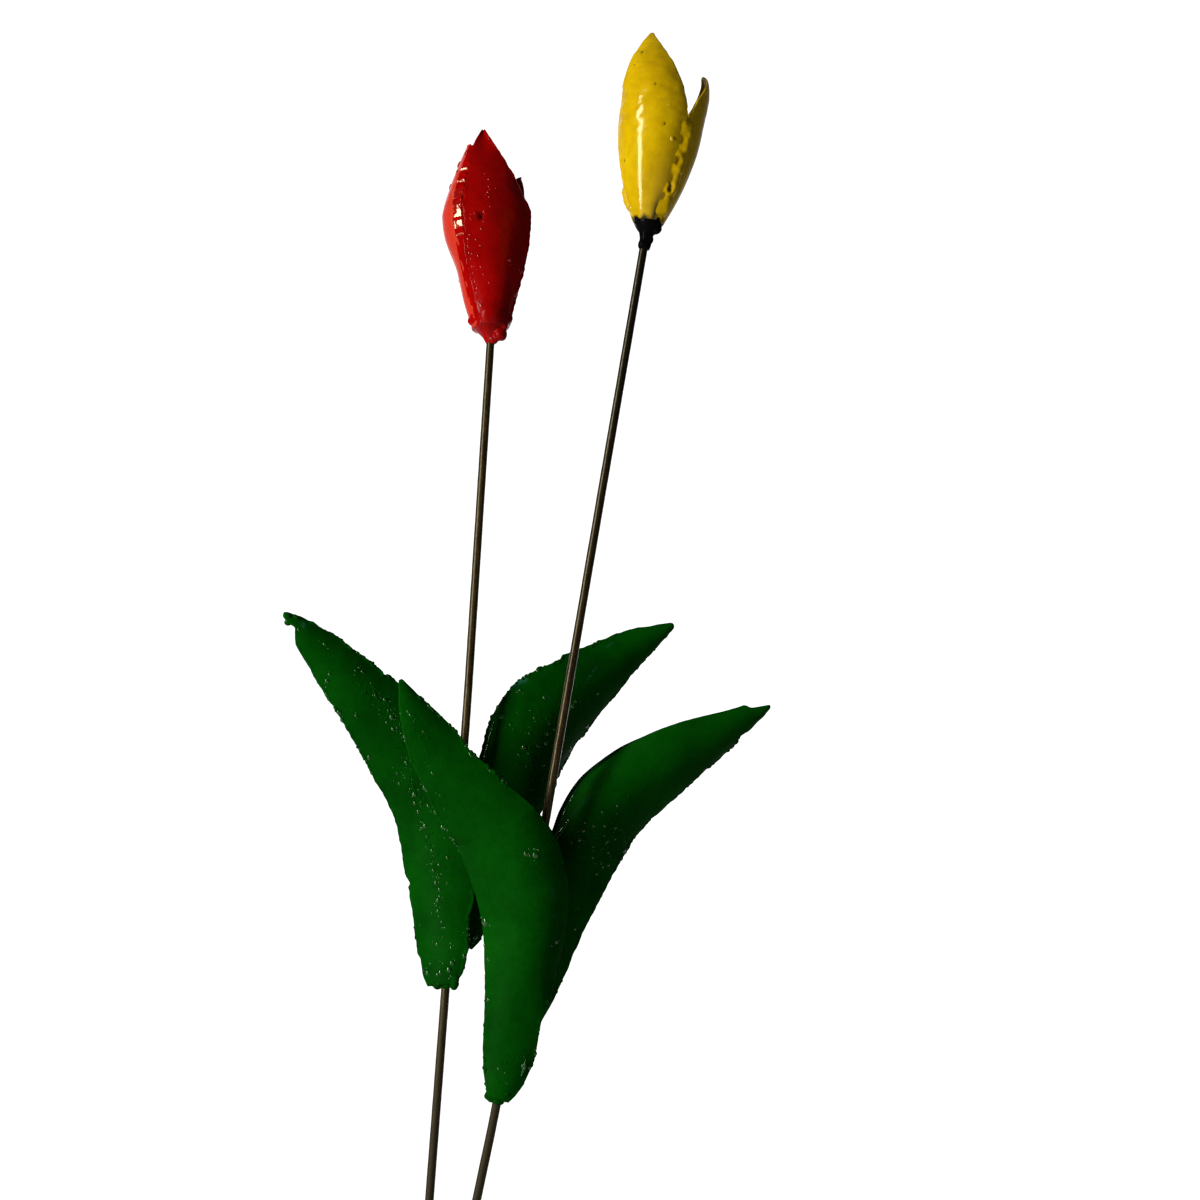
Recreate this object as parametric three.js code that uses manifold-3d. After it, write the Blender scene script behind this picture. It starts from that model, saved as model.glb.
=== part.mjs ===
// A pair of hand-made steel tulip garden stakes, one red and one yellow, pushed into the soil side by side.
// Each stake is a bent round bar with a bud of three welded sheet petals on its top,
// and two trough-shaped sheet leaves lower down, each held by a weld at its foot.
// The left leaf lies in front of the bar, and the right leaf stands beside it, with its edge to the bar.
// Millimetres, +Z up, the front looks toward -Y. The origin is on the soil line between the two stems.

import * as THREE from "three";
import { mergeVertices } from "three/addons/utils/BufferGeometryUtils.js";
import Module from "manifold-3d";

const wasm = await Module();
wasm.setup();

// Stock and fits
const STEM_DIAMETER = 6;
const SHEET_THICKNESS = 1.2;
const CLEARANCE = 0.3;
const BURIED_DEPTH = 150;
const BEND_RUN = 25;
const STEM_INSERT = 8;

// Leaves: all four are cut to the same narrow point and sit on the bar at the same distance
const LEAF_SEAT_GAP = 2.4;
const LEAF_SEAT_RADIUS = STEM_DIAMETER / 2 + LEAF_SEAT_GAP;
const LEAF_TIP_HALF_WIDTH = 0.8;

// Welds at the leaf feet
const LEAF_WELD_INSET = 5;
const LEAF_WELD_DROP = 6;
const LEAF_WELD_DEPTH = 8;
const EDGE_WELD_HALF_WIDTH = 4.5;
const LUMP_SWELL = 0.08;
const LUMPS_ACROSS = 5;
const LUMPS_UP = 4;

// Flowers
const PETAL_TIP_HALF_WIDTH = 0.8;
const PETAL_TIP_BLUNTNESS = 0.8;
const PETAL_BEND_POWER = 1.5;
const SEAM_GAP = 2.4;
const SEAM_WELD_HALF_WIDTH = 2.8;
const SEAM_WELD_HEIGHT = 2.2;
const SEAM_WELD_PITCH = 11;
const SEAM_WELD_START = 5;
const SEAM_TOP_LIMIT = 0.975;
const SEAM_WELD_RIPPLE = 0.2;
const SEAM_WELD_END = 0.4;
const SHOULDER_WIDE_AT = 1 / 3;
const PLUG_CROWN = 3;

// Facets
const STEM_SIDES = 12;
const STEM_STEPS = 28;
const LEAF_COLUMNS = 8;
const LEAF_ROWS = 22;
const PETAL_COLUMNS = 8;
const PETAL_ROWS = 14;
const SEAM_WELD_STEPS = 20;
const SEAM_WELD_SIDES = 5;
const LUMP_COLUMNS = 16;
const LUMP_ROWS = 10;
const SLOPE_STEP = 1e-3;

// Angles are in degrees. A lean is measured from upright, to the right or to the back.
// An azimuth is measured round the stem from the front toward the right.
// Heights of bend, leaves and flower run along the stem from the soil.
// A leaf is welded on at seatAzimuth, by its face or by its edge.
// Its round side faces footFacing at the foot and turns to tipFacing.
// Its tip lies at rise, reach and depth from its foot, up, to the right and to the back.
// Its spine leaves the foot at footLean and footLeanBack, and meets the tip at tipLean.
// The runs say how far those two directions hold.
// Its curl is half the angle of the arc across it. Taper says how late it narrows past its widest place.
// A bud swells from footRadius to bellyRadius and closes to tipRadius at its tallest petal.
// Each petal is welded to the next one on its right up to seamHeight. Above that it runs to its own tip.
// The tip lies at tipPlace across the petal, from -1 at its left edge to 1 at its right edge.
// It is moved outward by flare and to the right by sway.
// A petal's face is pressed flat by the share flat, which grows from nothing at the foot to the belly.
const RED_STAKE = {
  name: "red",
  soilX: -13.8,
  soilY: 12,
  lowerLean: 3.6,
  upperLean: 2.9,
  leanBack: 2.9,
  bendHeight: 380,
  flowerHeight: 650,
  leaves: [
    {
      name: "left_leaf",
      footHeight: 180,
      edgeOn: false,
      seatAzimuth: -18,
      footFacing: -18,
      tipFacing: -5,
      footLean: -5,
      footLeanBack: 0,
      footRun: 158,
      rise: 247,
      reach: -127,
      depth: -34,
      tipRun: 123,
      tipLean: -50,
      width: 59,
      footWidth: 30,
      widestAt: 0.38,
      taper: 3.2,
      footCurl: 30,
      tipCurl: 40,
    },
    {
      name: "right_leaf",
      footHeight: 207,
      edgeOn: true,
      seatAzimuth: 110,
      footFacing: 25,
      tipFacing: 25,
      footLean: 12.6,
      footLeanBack: 4,
      footRun: 155,
      rise: 245,
      reach: 131,
      depth: 36,
      tipRun: 139,
      tipLean: 53,
      width: 66.5,
      footWidth: 17,
      widestAt: 0.54,
      taper: 2.2,
      footCurl: 25,
      tipCurl: 45,
    },
  ],
  flower: {
    lean: -2.8,
    leanBack: 2.9,
    footRadius: 11.4,
    bellyRadius: 32,
    bellyHeight: 95,
    swell: 1.3,
    tipRadius: 6.5,
    closing: 1.25,
    taper: 1.8,
    weldColor: "red",
    neckWall: 2.7,
    neckLength: 1.5,
    shoulderRadius: 10,
    shoulderHeight: 3.5,
    petals: [
      {
        name: "front_petal",
        azimuth: 22,
        height: 162,
        seamHeight: 106,
        tipPlace: -0.25,
        flare: 0,
        sway: 0,
        flat: 0.12,
      },
      {
        name: "right_petal",
        azimuth: 142,
        height: 132,
        seamHeight: 106,
        tipPlace: 0,
        flare: 3,
        sway: -11,
        flat: 0,
      },
      {
        name: "left_petal",
        azimuth: 262,
        height: 150,
        seamHeight: 146,
        tipPlace: 0.9,
        flare: 0,
        sway: 0,
        flat: 0,
      },
    ],
  },
};

const YELLOW_STAKE = {
  name: "yellow",
  soilX: 13.5,
  soilY: -12,
  lowerLean: 11.9,
  upperLean: 9.6,
  leanBack: -1.7,
  bendHeight: 104,
  flowerHeight: 720,
  leaves: [
    {
      name: "left_leaf",
      footHeight: 108,
      edgeOn: false,
      seatAzimuth: -5,
      footFacing: -5,
      tipFacing: -5,
      footLean: 1.6,
      footLeanBack: 0,
      footRun: 177,
      rise: 262,
      reach: -114,
      depth: -30,
      tipRun: 150,
      tipLean: -40,
      width: 63,
      footWidth: 26,
      widestAt: 0.41,
      taper: 3.2,
      footCurl: 30,
      tipCurl: 40,
    },
    {
      name: "right_leaf",
      footHeight: 138,
      edgeOn: true,
      seatAzimuth: 110,
      footFacing: 25,
      tipFacing: 25,
      footLean: 7.3,
      footLeanBack: 4,
      footRun: 204.5,
      rise: 263,
      reach: 129.5,
      depth: 24,
      tipRun: 161,
      tipLean: 48,
      width: 64.8,
      footWidth: 12,
      widestAt: 0.51,
      taper: 2.8,
      footCurl: 25,
      tipCurl: 45,
    },
  ],
  flower: {
    lean: 7.5,
    leanBack: -1.7,
    footRadius: 9.8,
    bellyRadius: 29.5,
    bellyHeight: 78,
    swell: 0.9,
    tipRadius: 8,
    closing: 2.6,
    taper: 1.7,
    weldColor: "black",
    neckWall: 1.5,
    neckLength: 11,
    shoulderRadius: 7.5,
    shoulderHeight: 8,
    petals: [
      {
        name: "front_petal",
        azimuth: -20,
        height: 138,
        seamHeight: 71,
        tipPlace: 0,
        flare: 0,
        sway: -12.5,
        flat: 0,
      },
      {
        name: "right_petal",
        azimuth: 100,
        height: 113,
        seamHeight: 71,
        tipPlace: 0,
        flare: 6,
        sway: 0,
        flat: 0,
      },
      {
        name: "back_petal",
        azimuth: 220,
        height: 122,
        seamHeight: 71,
        tipPlace: 0,
        flare: 0,
        sway: 0,
        flat: 0,
      },
    ],
  },
};

const UP = new THREE.Vector3(0, 0, 1);

const MATERIALS = {
  red: new THREE.MeshStandardMaterial({ color: 0xb00404, roughness: 0.25, metalness: 0 }),
  yellow: new THREE.MeshStandardMaterial({ color: 0xd2ae08, roughness: 0.25, metalness: 0 }),
  green: new THREE.MeshStandardMaterial({ color: 0x064a0e, roughness: 0.35, metalness: 0 }),
  black: new THREE.MeshStandardMaterial({ color: 0x0c0c0c, roughness: 0.3, metalness: 0 }),
  steel: new THREE.MeshStandardMaterial({ color: 0x3d3220, roughness: 0.45, metalness: 0.8 }),
};

const radians = THREE.MathUtils.degToRad;
const mix = THREE.MathUtils.lerp;

// Level direction at an azimuth
function azimuthDirection(azimuth) {
  return new THREE.Vector3(Math.sin(radians(azimuth)), -Math.cos(radians(azimuth)), 0);
}

// Upright direction tipped to the right and to the back
function leanDirection(right, back) {
  return new THREE.Vector3(Math.tan(radians(right)), Math.tan(radians(back)), 1).normalize();
}

// Triangles that close a ring with a fan from its first point
function fanCap(size) {
  const triangles = [];
  for (let side = 1; side + 1 < size; side++) {
    triangles.push([0, side, side + 1]);
  }
  return triangles;
}

// Triangles that close a flat ring whose second half runs back beside its first
function stripCap(size) {
  const triangles = [];
  for (let side = 0; side + 1 < size / 2; side++) {
    const facing = size - 1 - side;
    triangles.push([side, side + 1, facing - 1], [side, facing - 1, facing]);
  }
  return triangles;
}

// Closed solid from rings of points. Seen from its last ring, each ring runs anticlockwise.
function loft(rings, cap) {
  const size = rings[0].length;
  const last = (rings.length - 1) * size;
  const index = [];
  for (let ring = 0; ring < last; ring += size) {
    for (let side = 0; side < size; side++) {
      const a = ring + side;
      const b = ring + ((side + 1) % size);
      index.push(a, b, b + size, a, b + size, a + size);
    }
  }
  for (const [a, b, c] of cap(size)) {
    index.push(a, c, b, last + a, last + b, last + c);
  }
  return new THREE.BufferGeometry().setFromPoints(rings.flat()).setIndex(index);
}

// Closed sheet on both sides of a curved middle surface.
// The surface takes u from -1 to 1 across and v from 0 to 1 along.
// Hems run it on past both its sides, and a skirt runs it on below its foot.
function sheet(surface, thickness, columns, rows, hem = 0, skirt = 0) {
  const rings = [];
  for (let row = 0; row <= rows; row++) {
    const v = mix(-skirt, 1, row / rows);
    const outer = [];
    const inner = [];
    for (let column = 0; column <= columns; column++) {
      const u = mix(-1 - hem, 1 + hem, column / columns);
      const across = surface(u + SLOPE_STEP, v).sub(surface(u - SLOPE_STEP, v));
      const along = surface(u, v + SLOPE_STEP).sub(surface(u, v - SLOPE_STEP));
      const normal = across.cross(along).setLength(thickness / 2);
      outer.push(surface(u, v).add(normal));
      inner.unshift(surface(u, v).sub(normal));
    }
    rings.push([...outer, ...inner]);
  }
  return loft(rings, stripCap);
}

// Solid for cutting, with shared corners merged
function toSolid(geometry) {
  const bare = geometry.clone();
  bare.deleteAttribute("normal");
  bare.deleteAttribute("uv");
  const merged = mergeVertices(bare);
  const triVerts = new Uint32Array(merged.index.array);
  const vertProperties = merged.attributes.position.array;
  return new wasm.Manifold(new wasm.Mesh({ numProp: 3, vertProperties, triVerts }));
}

// The blank with every cutter taken away
function cut(blank, cutters) {
  const solid = cutters.reduce((left, cutter) => left.subtract(toSolid(cutter)), toSolid(blank));
  const { vertProperties, triVerts } = solid.getMesh();
  return new THREE.BufferGeometry()
    .setAttribute("position", new THREE.BufferAttribute(vertProperties, 3))
    .setIndex(new THREE.BufferAttribute(triVerts, 1));
}

function addMesh(group, name, geometry, material) {
  geometry.computeVertexNormals();
  const mesh = new THREE.Mesh(geometry, material);
  mesh.name = name;
  group.add(mesh);
}

// Centre line of a stem: a straight run out of the soil, a soft bend, and a straight run up to the flower
function stemCurve(stake, runOut = 0) {
  const lower = leanDirection(stake.lowerLean, stake.leanBack);
  const upper = leanDirection(stake.upperLean, stake.leanBack);
  const soil = new THREE.Vector3(stake.soilX, stake.soilY, 0);
  const foot = soil.clone().addScaledVector(lower, -BURIED_DEPTH);
  const bend = soil.clone().addScaledVector(lower, stake.bendHeight);
  const bendStart = bend.clone().addScaledVector(lower, -BEND_RUN);
  const bendEnd = bend.clone().addScaledVector(upper, BEND_RUN);
  const topRun = stake.flowerHeight - stake.bendHeight + STEM_INSERT + runOut;
  const top = bend.clone().addScaledVector(upper, topRun);
  const curve = new THREE.CurvePath();
  curve.add(new THREE.LineCurve3(foot, bendStart));
  curve.add(new THREE.QuadraticBezierCurve3(bendStart, bend, bendEnd));
  curve.add(new THREE.LineCurve3(bendEnd, top));
  return curve;
}

function stemGeometry(curve, radius) {
  const outline = [];
  for (let side = 0; side < STEM_SIDES; side++) {
    const angle = (2 * Math.PI * side) / STEM_SIDES;
    outline.push(new THREE.Vector2(radius * Math.cos(angle), radius * Math.sin(angle)));
  }
  return new THREE.ExtrudeGeometry(new THREE.Shape(outline), { steps: STEM_STEPS, extrudePath: curve });
}

// Group at a height along the stem above the soil, with its Z axis along the stem
function stemSeat(curve, height) {
  const share = (BURIED_DEPTH + height) / curve.getLength();
  const seat = new THREE.Group();
  seat.position.copy(curve.getPointAt(share));
  seat.quaternion.setFromUnitVectors(UP, curve.getTangentAt(share));
  return seat;
}

// The stem's hole in a welded piece, seen from that piece's group
function stemCutter(stake, group) {
  group.updateMatrix();
  const hole = stemGeometry(stemCurve(stake, CLEARANCE), STEM_DIAMETER / 2 + CLEARANCE);
  return hole.applyMatrix4(group.matrix.clone().invert());
}

// Half of a leaf's width at a share of its length: swelling from the foot, then running to a point
function leafHalfWidth(leaf, share) {
  if (share < leaf.widestAt) {
    return mix(leaf.footWidth / 2, leaf.width / 2, Math.sin((Math.PI / 2) * (share / leaf.widestAt)));
  }
  const past = (share - leaf.widestAt) / (1 - leaf.widestAt);
  return mix(leaf.width / 2, LEAF_TIP_HALF_WIDTH, past ** leaf.taper);
}

// Middle surface of a leaf: a curved spine that carries arcs.
// Its foot starts beside the bar by half its thickness, or by half its width if its edge is welded on.
function leafSurface(leaf) {
  const halfFoot = (leaf.edgeOn ? leaf.footWidth : SHEET_THICKNESS) / 2;
  const foot = azimuthDirection(leaf.seatAzimuth).multiplyScalar(LEAF_SEAT_RADIUS + halfFoot);
  const tip = foot.clone().add(new THREE.Vector3(leaf.reach, leaf.depth, leaf.rise));
  const footDirection = leanDirection(leaf.footLean, leaf.footLeanBack);
  const footHandle = foot.clone().addScaledVector(footDirection, leaf.footRun);
  const tipHandle = tip.clone().addScaledVector(leanDirection(leaf.tipLean, 0), -leaf.tipRun);
  const spine = new THREE.CubicBezierCurve3(foot, footHandle, tipHandle, tip);
  return (u, v) => {
    const share = THREE.MathUtils.clamp(v, 0, 1);
    const along = spine.getTangent(share);
    const facing = azimuthDirection(mix(leaf.footFacing, leaf.tipFacing, share));
    const outward = facing.addScaledVector(along, -facing.dot(along)).normalize();
    const across = along.clone().cross(outward);
    const curl = radians(mix(leaf.footCurl, leaf.tipCurl, share));
    const radius = leafHalfWidth(leaf, share) / curl;
    return spine
      .getPoint(v)
      .addScaledVector(across, radius * Math.sin(u * curl))
      .addScaledVector(outward, radius * (Math.cos(u * curl) - 1));
  };
}

// Uneven ball: a stretched sphere with a few soft lumps
function lump(halfWidth, halfDepth, halfHeight) {
  const geometry = new THREE.SphereGeometry(1, LUMP_COLUMNS, LUMP_ROWS);
  const points = geometry.attributes.position;
  const point = new THREE.Vector3();
  for (let i = 0; i < points.count; i++) {
    point.fromBufferAttribute(points, i);
    const swell = 1 + LUMP_SWELL * Math.sin(LUMPS_ACROSS * point.x) * Math.cos(LUMPS_UP * point.z + point.y);
    points.setXYZ(i, point.x * halfWidth * swell, point.y * halfDepth * swell, point.z * halfHeight * swell);
  }
  return geometry;
}

// A leaf on its seat, with the weld that fills the space between its foot and the stem
function addLeaf(stakeGroup, stake, curve, leaf) {
  const seat = stemSeat(curve, leaf.footHeight);
  const surface = leafSurface(leaf);
  const leafGeometry = sheet(surface, SHEET_THICKNESS, LEAF_COLUMNS, LEAF_ROWS);
  addMesh(seat, `${stake.name}_${leaf.name}`, leafGeometry, MATERIALS.green);

  const hem = (2 * CLEARANCE) / leaf.footWidth;
  const skirt = CLEARANCE / leaf.rise;
  const leafCutter = sheet(surface, SHEET_THICKNESS + 2 * CLEARANCE, LEAF_COLUMNS, LEAF_ROWS, hem, skirt);
  const weldHalfWidth = leaf.edgeOn ? EDGE_WELD_HALF_WIDTH : leaf.footWidth / 2 - LEAF_WELD_INSET;
  const weld = lump(weldHalfWidth, LEAF_WELD_DEPTH, LEAF_WELD_DROP)
    .rotateZ(radians(leaf.seatAzimuth))
    .translate(...azimuthDirection(leaf.seatAzimuth).multiplyScalar(LEAF_SEAT_RADIUS).toArray());
  const weldGeometry = cut(weld, [leafCutter, stemCutter(stake, seat)]);
  addMesh(seat, `${stake.name}_${leaf.name}_weld`, weldGeometry, MATERIALS.green);
  stakeGroup.add(seat);
}

// Radius of the bud at a height: swelling from the foot to the belly, then closing toward the tips
function cupRadius(flower, height) {
  if (height < flower.bellyHeight) {
    const rise = Math.max(height, 0) / flower.bellyHeight;
    return mix(flower.footRadius, flower.bellyRadius, Math.sin((Math.PI / 2) * rise) ** flower.swell);
  }
  const tallest = Math.max(...flower.petals.map((petal) => petal.height));
  const past = (height - flower.bellyHeight) / (tallest - flower.bellyHeight);
  return mix(flower.bellyRadius, flower.tipRadius, past ** flower.closing);
}

// Height of the seam between a petal and the next one on its right. It ends below the lower of their tips.
function seamTop(flower, petal) {
  const next = flower.petals[(flower.petals.indexOf(petal) + 1) % flower.petals.length];
  return Math.min(petal.seamHeight, SEAM_TOP_LIMIT * Math.min(petal.height, next.height));
}

// How far a petal has run from the top of a seam to its tip, from 0 to 1
function runToTip(petal, height, seam) {
  return THREE.MathUtils.clamp((height - seam) / (petal.height - seam), 0, 1);
}

// Middle surface of a petal: a third of the bud up to the tops of its seams, then a tip of its own
function petalSurface(flower, petal) {
  const halfShare = Math.PI / flower.petals.length;
  const leftSeam = seamTop(flower, flower.petals.at(flower.petals.indexOf(petal) - 1));
  const rightSeam = seamTop(flower, petal);
  const sideways = azimuthDirection(petal.azimuth + 90);
  const narrowing = (past) => (1 - past ** flower.taper) ** PETAL_TIP_BLUNTNESS;
  return (u, v) => {
    const height = v * petal.height;
    const radius = cupRadius(flower, height);
    const widest = radius * halfShare - SEAM_GAP / 2;
    const tip = petal.tipPlace * widest;
    const leftRun = runToTip(petal, height, leftSeam);
    const rightRun = runToTip(petal, height, rightSeam);
    const left = mix(tip - PETAL_TIP_HALF_WIDTH, -widest, narrowing(leftRun));
    const right = mix(tip + PETAL_TIP_HALF_WIDTH, widest, narrowing(rightRun));
    const angle = radians(petal.azimuth) + mix(left, right, (u + 1) / 2) / radius;
    const bend = Math.max(leftRun, rightRun) ** PETAL_BEND_POWER;
    const flat = petal.flat * THREE.MathUtils.smoothstep(height, 0, flower.bellyHeight);
    const reach = radius * (1 - flat * (1 - u * u)) + petal.flare * bend;
    return new THREE.Vector3(reach * Math.sin(angle), -reach * Math.cos(angle), height)
      .addScaledVector(sideways, petal.sway * bend);
  };
}

// Lumpy bead of weld that lies over a seam between two petals
function seamWeld(flower, petal) {
  const azimuth = petal.azimuth + 180 / flower.petals.length;
  const outward = azimuthDirection(azimuth);
  const across = azimuthDirection(azimuth + 90);
  const rings = [];
  for (let step = 0; step <= SEAM_WELD_STEPS; step++) {
    const share = step / SEAM_WELD_STEPS;
    const height = mix(SEAM_WELD_START, seamTop(flower, petal), share);
    const slope = (cupRadius(flower, height + SLOPE_STEP) - cupRadius(flower, height)) / SLOPE_STEP;
    const base = cupRadius(flower, height) + (SHEET_THICKNESS / 2 + CLEARANCE) * Math.hypot(1, slope);
    const bead = Math.sin((2 * Math.PI * height) / SEAM_WELD_PITCH + radians(azimuth));
    const size = (1 + SEAM_WELD_RIPPLE * bead) * mix(SEAM_WELD_END, 1, Math.sqrt(Math.sin(Math.PI * share)));
    const ring = [];
    for (let side = 0; side <= SEAM_WELD_SIDES; side++) {
      const turn = (Math.PI * side) / SEAM_WELD_SIDES;
      ring.push(
        new THREE.Vector3(0, 0, height)
          .addScaledVector(across, -SEAM_WELD_HALF_WIDTH * size * Math.cos(turn))
          .addScaledVector(outward, base + SEAM_WELD_HEIGHT * size * Math.sin(turn)),
      );
    }
    rings.push(ring);
  }
  return loft(rings, fanCap);
}

// Weld that closes the foot of the bud: neck on the stem, shoulder, ledge under the petals, and plug inside
function flowerBaseWeld(flower) {
  const ledge = -SHEET_THICKNESS / 2 - CLEARANCE;
  const shoulder = ledge - flower.shoulderHeight;
  const neck = shoulder - flower.neckLength;
  const neckRadius = STEM_DIAMETER / 2 + CLEARANCE + flower.neckWall;
  const plugRadius = flower.footRadius - SHEET_THICKNESS / 2 - CLEARANCE;
  const profile = [
    [0, neck],
    [neckRadius, neck],
    [neckRadius, shoulder],
    [flower.shoulderRadius, mix(shoulder, ledge, SHOULDER_WIDE_AT)],
    [flower.footRadius + SHEET_THICKNESS / 2, ledge],
    [plugRadius, ledge],
    [plugRadius, STEM_INSERT],
    [0, STEM_INSERT + PLUG_CROWN],
  ].map(([radius, height]) => new THREE.Vector2(radius, height));
  return new THREE.LatheGeometry(profile, LUMP_COLUMNS).rotateX(Math.PI / 2);
}

function addFlower(stakeGroup, stake, curve) {
  const { flower } = stake;
  const head = stemSeat(curve, stake.flowerHeight);
  head.quaternion.setFromUnitVectors(UP, leanDirection(flower.lean, flower.leanBack));
  for (const petal of flower.petals) {
    const geometry = sheet(petalSurface(flower, petal), SHEET_THICKNESS, PETAL_COLUMNS, PETAL_ROWS);
    addMesh(head, `${stake.name}_${petal.name}`, geometry, MATERIALS[stake.name]);
    const seamName = `${stake.name}_${petal.name}_seam_weld`;
    addMesh(head, seamName, seamWeld(flower, petal), MATERIALS[stake.name]);
  }
  const baseWeld = cut(flowerBaseWeld(flower), [stemCutter(stake, head)]);
  addMesh(head, `${stake.name}_flower_base_weld`, baseWeld, MATERIALS[flower.weldColor]);
  stakeGroup.add(head);
}

function buildStake(stake) {
  const group = new THREE.Group();
  const curve = stemCurve(stake);
  addMesh(group, `${stake.name}_stem`, stemGeometry(curve, STEM_DIAMETER / 2), MATERIALS.steel);
  stake.leaves.forEach((leaf) => addLeaf(group, stake, curve, leaf));
  addFlower(group, stake, curve);
  return group;
}

const tulipStakes = new THREE.Group();
tulipStakes.add(buildStake(RED_STAKE), buildStake(YELLOW_STAKE));

export default tulipStakes;
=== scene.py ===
import math
import random
from math import radians
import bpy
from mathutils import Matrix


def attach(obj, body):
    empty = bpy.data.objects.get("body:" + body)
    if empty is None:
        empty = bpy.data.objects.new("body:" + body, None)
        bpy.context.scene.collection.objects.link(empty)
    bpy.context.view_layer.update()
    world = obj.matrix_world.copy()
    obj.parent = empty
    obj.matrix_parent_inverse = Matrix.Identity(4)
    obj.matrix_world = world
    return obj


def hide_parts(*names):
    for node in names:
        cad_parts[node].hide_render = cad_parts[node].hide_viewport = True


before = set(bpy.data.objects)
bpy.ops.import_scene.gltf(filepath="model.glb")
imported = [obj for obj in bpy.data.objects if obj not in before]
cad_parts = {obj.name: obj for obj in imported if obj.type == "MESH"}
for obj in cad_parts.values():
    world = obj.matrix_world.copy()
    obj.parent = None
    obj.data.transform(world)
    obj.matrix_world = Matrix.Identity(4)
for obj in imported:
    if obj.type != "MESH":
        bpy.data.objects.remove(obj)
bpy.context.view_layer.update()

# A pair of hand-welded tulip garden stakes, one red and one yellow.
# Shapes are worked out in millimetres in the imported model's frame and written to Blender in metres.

from types import SimpleNamespace as Traits

import bmesh
import bpy
import numpy as np
from mathutils import Vector

MM = 0.001

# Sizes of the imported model: lengths in millimetres, a power and a share
SHEET = 1.2
STEM_RADIUS = 3
BURIED_DEPTH = 150
BEND_RUN = 25
STEM_INSERT = 8
LEAF_SEAT_RADIUS = 5.4
LEAF_TIP_HALF_WIDTH = 0.8
LEAF_LENGTH = 290
PETAL_TIP_HALF_WIDTH = 0.8
PETAL_BEND_POWER = 1.5
SEAM_GAP = 2.4
SEAM_TOP_LIMIT = 0.975

# Paint and torch work: lengths in millimetres, shares and a number of drops
STEM_CHAMFER = 0.6
STEM_SOOT_END = 40
# Heights over which the painted shade and rougher steel at a stem's foot fade out
STEM_SHADED_FOOT = (90, 260)
RIM_RADIUS = 0.9
SLAG_INSET = 1.1
SLAG_SPREAD = 1.3
DROP_FLATNESS = 0.7
DROP_SINK = 0.3
ROLL_START = 0.15
HOLLOW_HEIGHT = 53
HOLLOW_SPREAD = 19
TRIM_HEIGHTS = (68, 132)
TRIM_FADE = 6
TRIM_DEPTH = 2.5
BRUSHED_HEIGHTS = (40, 70)
FOOT_SOOT_HEIGHTS = (1, 4)
SMOKE_HEIGHTS = (5, 24)
SMOKE_PLACE = 0.72
SMOKE_SPREAD = 0.2
PIT_DEPTH = 0.55
PIT_STRETCH = 0.62
SEAM_START = 3
SEAM_OVERRUN = 1.5
SEAM_SINK = 0.3
SEAM_DEPTH = 0.9
RIPPLE_PITCH = 5
RIPPLE_FADE = 8
WELD_DROPS = 22
WELD_VOXEL = 0.55

# Points along and across each form
STEM_STEP = 2.5
STEM_SIDES = 28
LEAF_GRID = (300, 64)
PETAL_GRID = (170, 72)
SEAM_COLUMNS = 41
RIDGE_STEPS = 40
RIDGE_SIDES = 12
COLLAR_SIDES = 40

# First seeds of the petals, the seams and the buds' feet
PETAL_SEED = 60
SEAM_SEED = 80
FOOT_SEED = 97

# The stakes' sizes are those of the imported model. Angles are in degrees, lengths in millimetres.
# Burnt is the soot on the stem: its strength, and how far it reaches down from the bud.
# Petal foot is how far above the bud's foot the petals start.
RED = Traits(
    name="red", soil=(-13.8, 12, 0), lower=3.6, upper=2.9, back=2.9, bend=380, flower_height=650,
    burnt=(0.15, 190), petal_foot=7,
    flower=Traits(
        lean=-2.8, lean_back=2.9, foot_radius=11.4, belly_radius=32, belly_height=95, swell=1.3,
        tip_radius=6.5, closing=1.25, taper=1.8,
        petals=[
            Traits(
                name="front_petal", azimuth=22, height=162, seam=106, tip=-0.25, flare=0, sway=0, flat=0.12,
            ),
            Traits(name="right_petal", azimuth=142, height=132, seam=106, tip=0, flare=3, sway=-11, flat=0),
            Traits(name="left_petal", azimuth=262, height=150, seam=146, tip=0.9, flare=0, sway=0, flat=0),
        ],
    ),
)
YELLOW = Traits(
    name="yellow", soil=(13.5, -12, 0), lower=11.9, upper=9.6, back=-1.7, bend=104, flower_height=720,
    burnt=(0.9, 460), petal_foot=0,
    flower=Traits(
        lean=7.5, lean_back=-1.7, foot_radius=9.8, belly_radius=29.5, belly_height=78, swell=0.9,
        tip_radius=8, closing=2.6, taper=1.7,
        petals=[
            Traits(name="front_petal", azimuth=-20, height=138, seam=71, tip=0, flare=0, sway=-12.5, flat=0),
            Traits(name="right_petal", azimuth=100, height=113, seam=71, tip=0, flare=6, sway=0, flat=0),
            Traits(name="back_petal", azimuth=220, height=122, seam=71, tip=0, flare=0, sway=0, flat=0),
        ],
    ),
)
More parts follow.
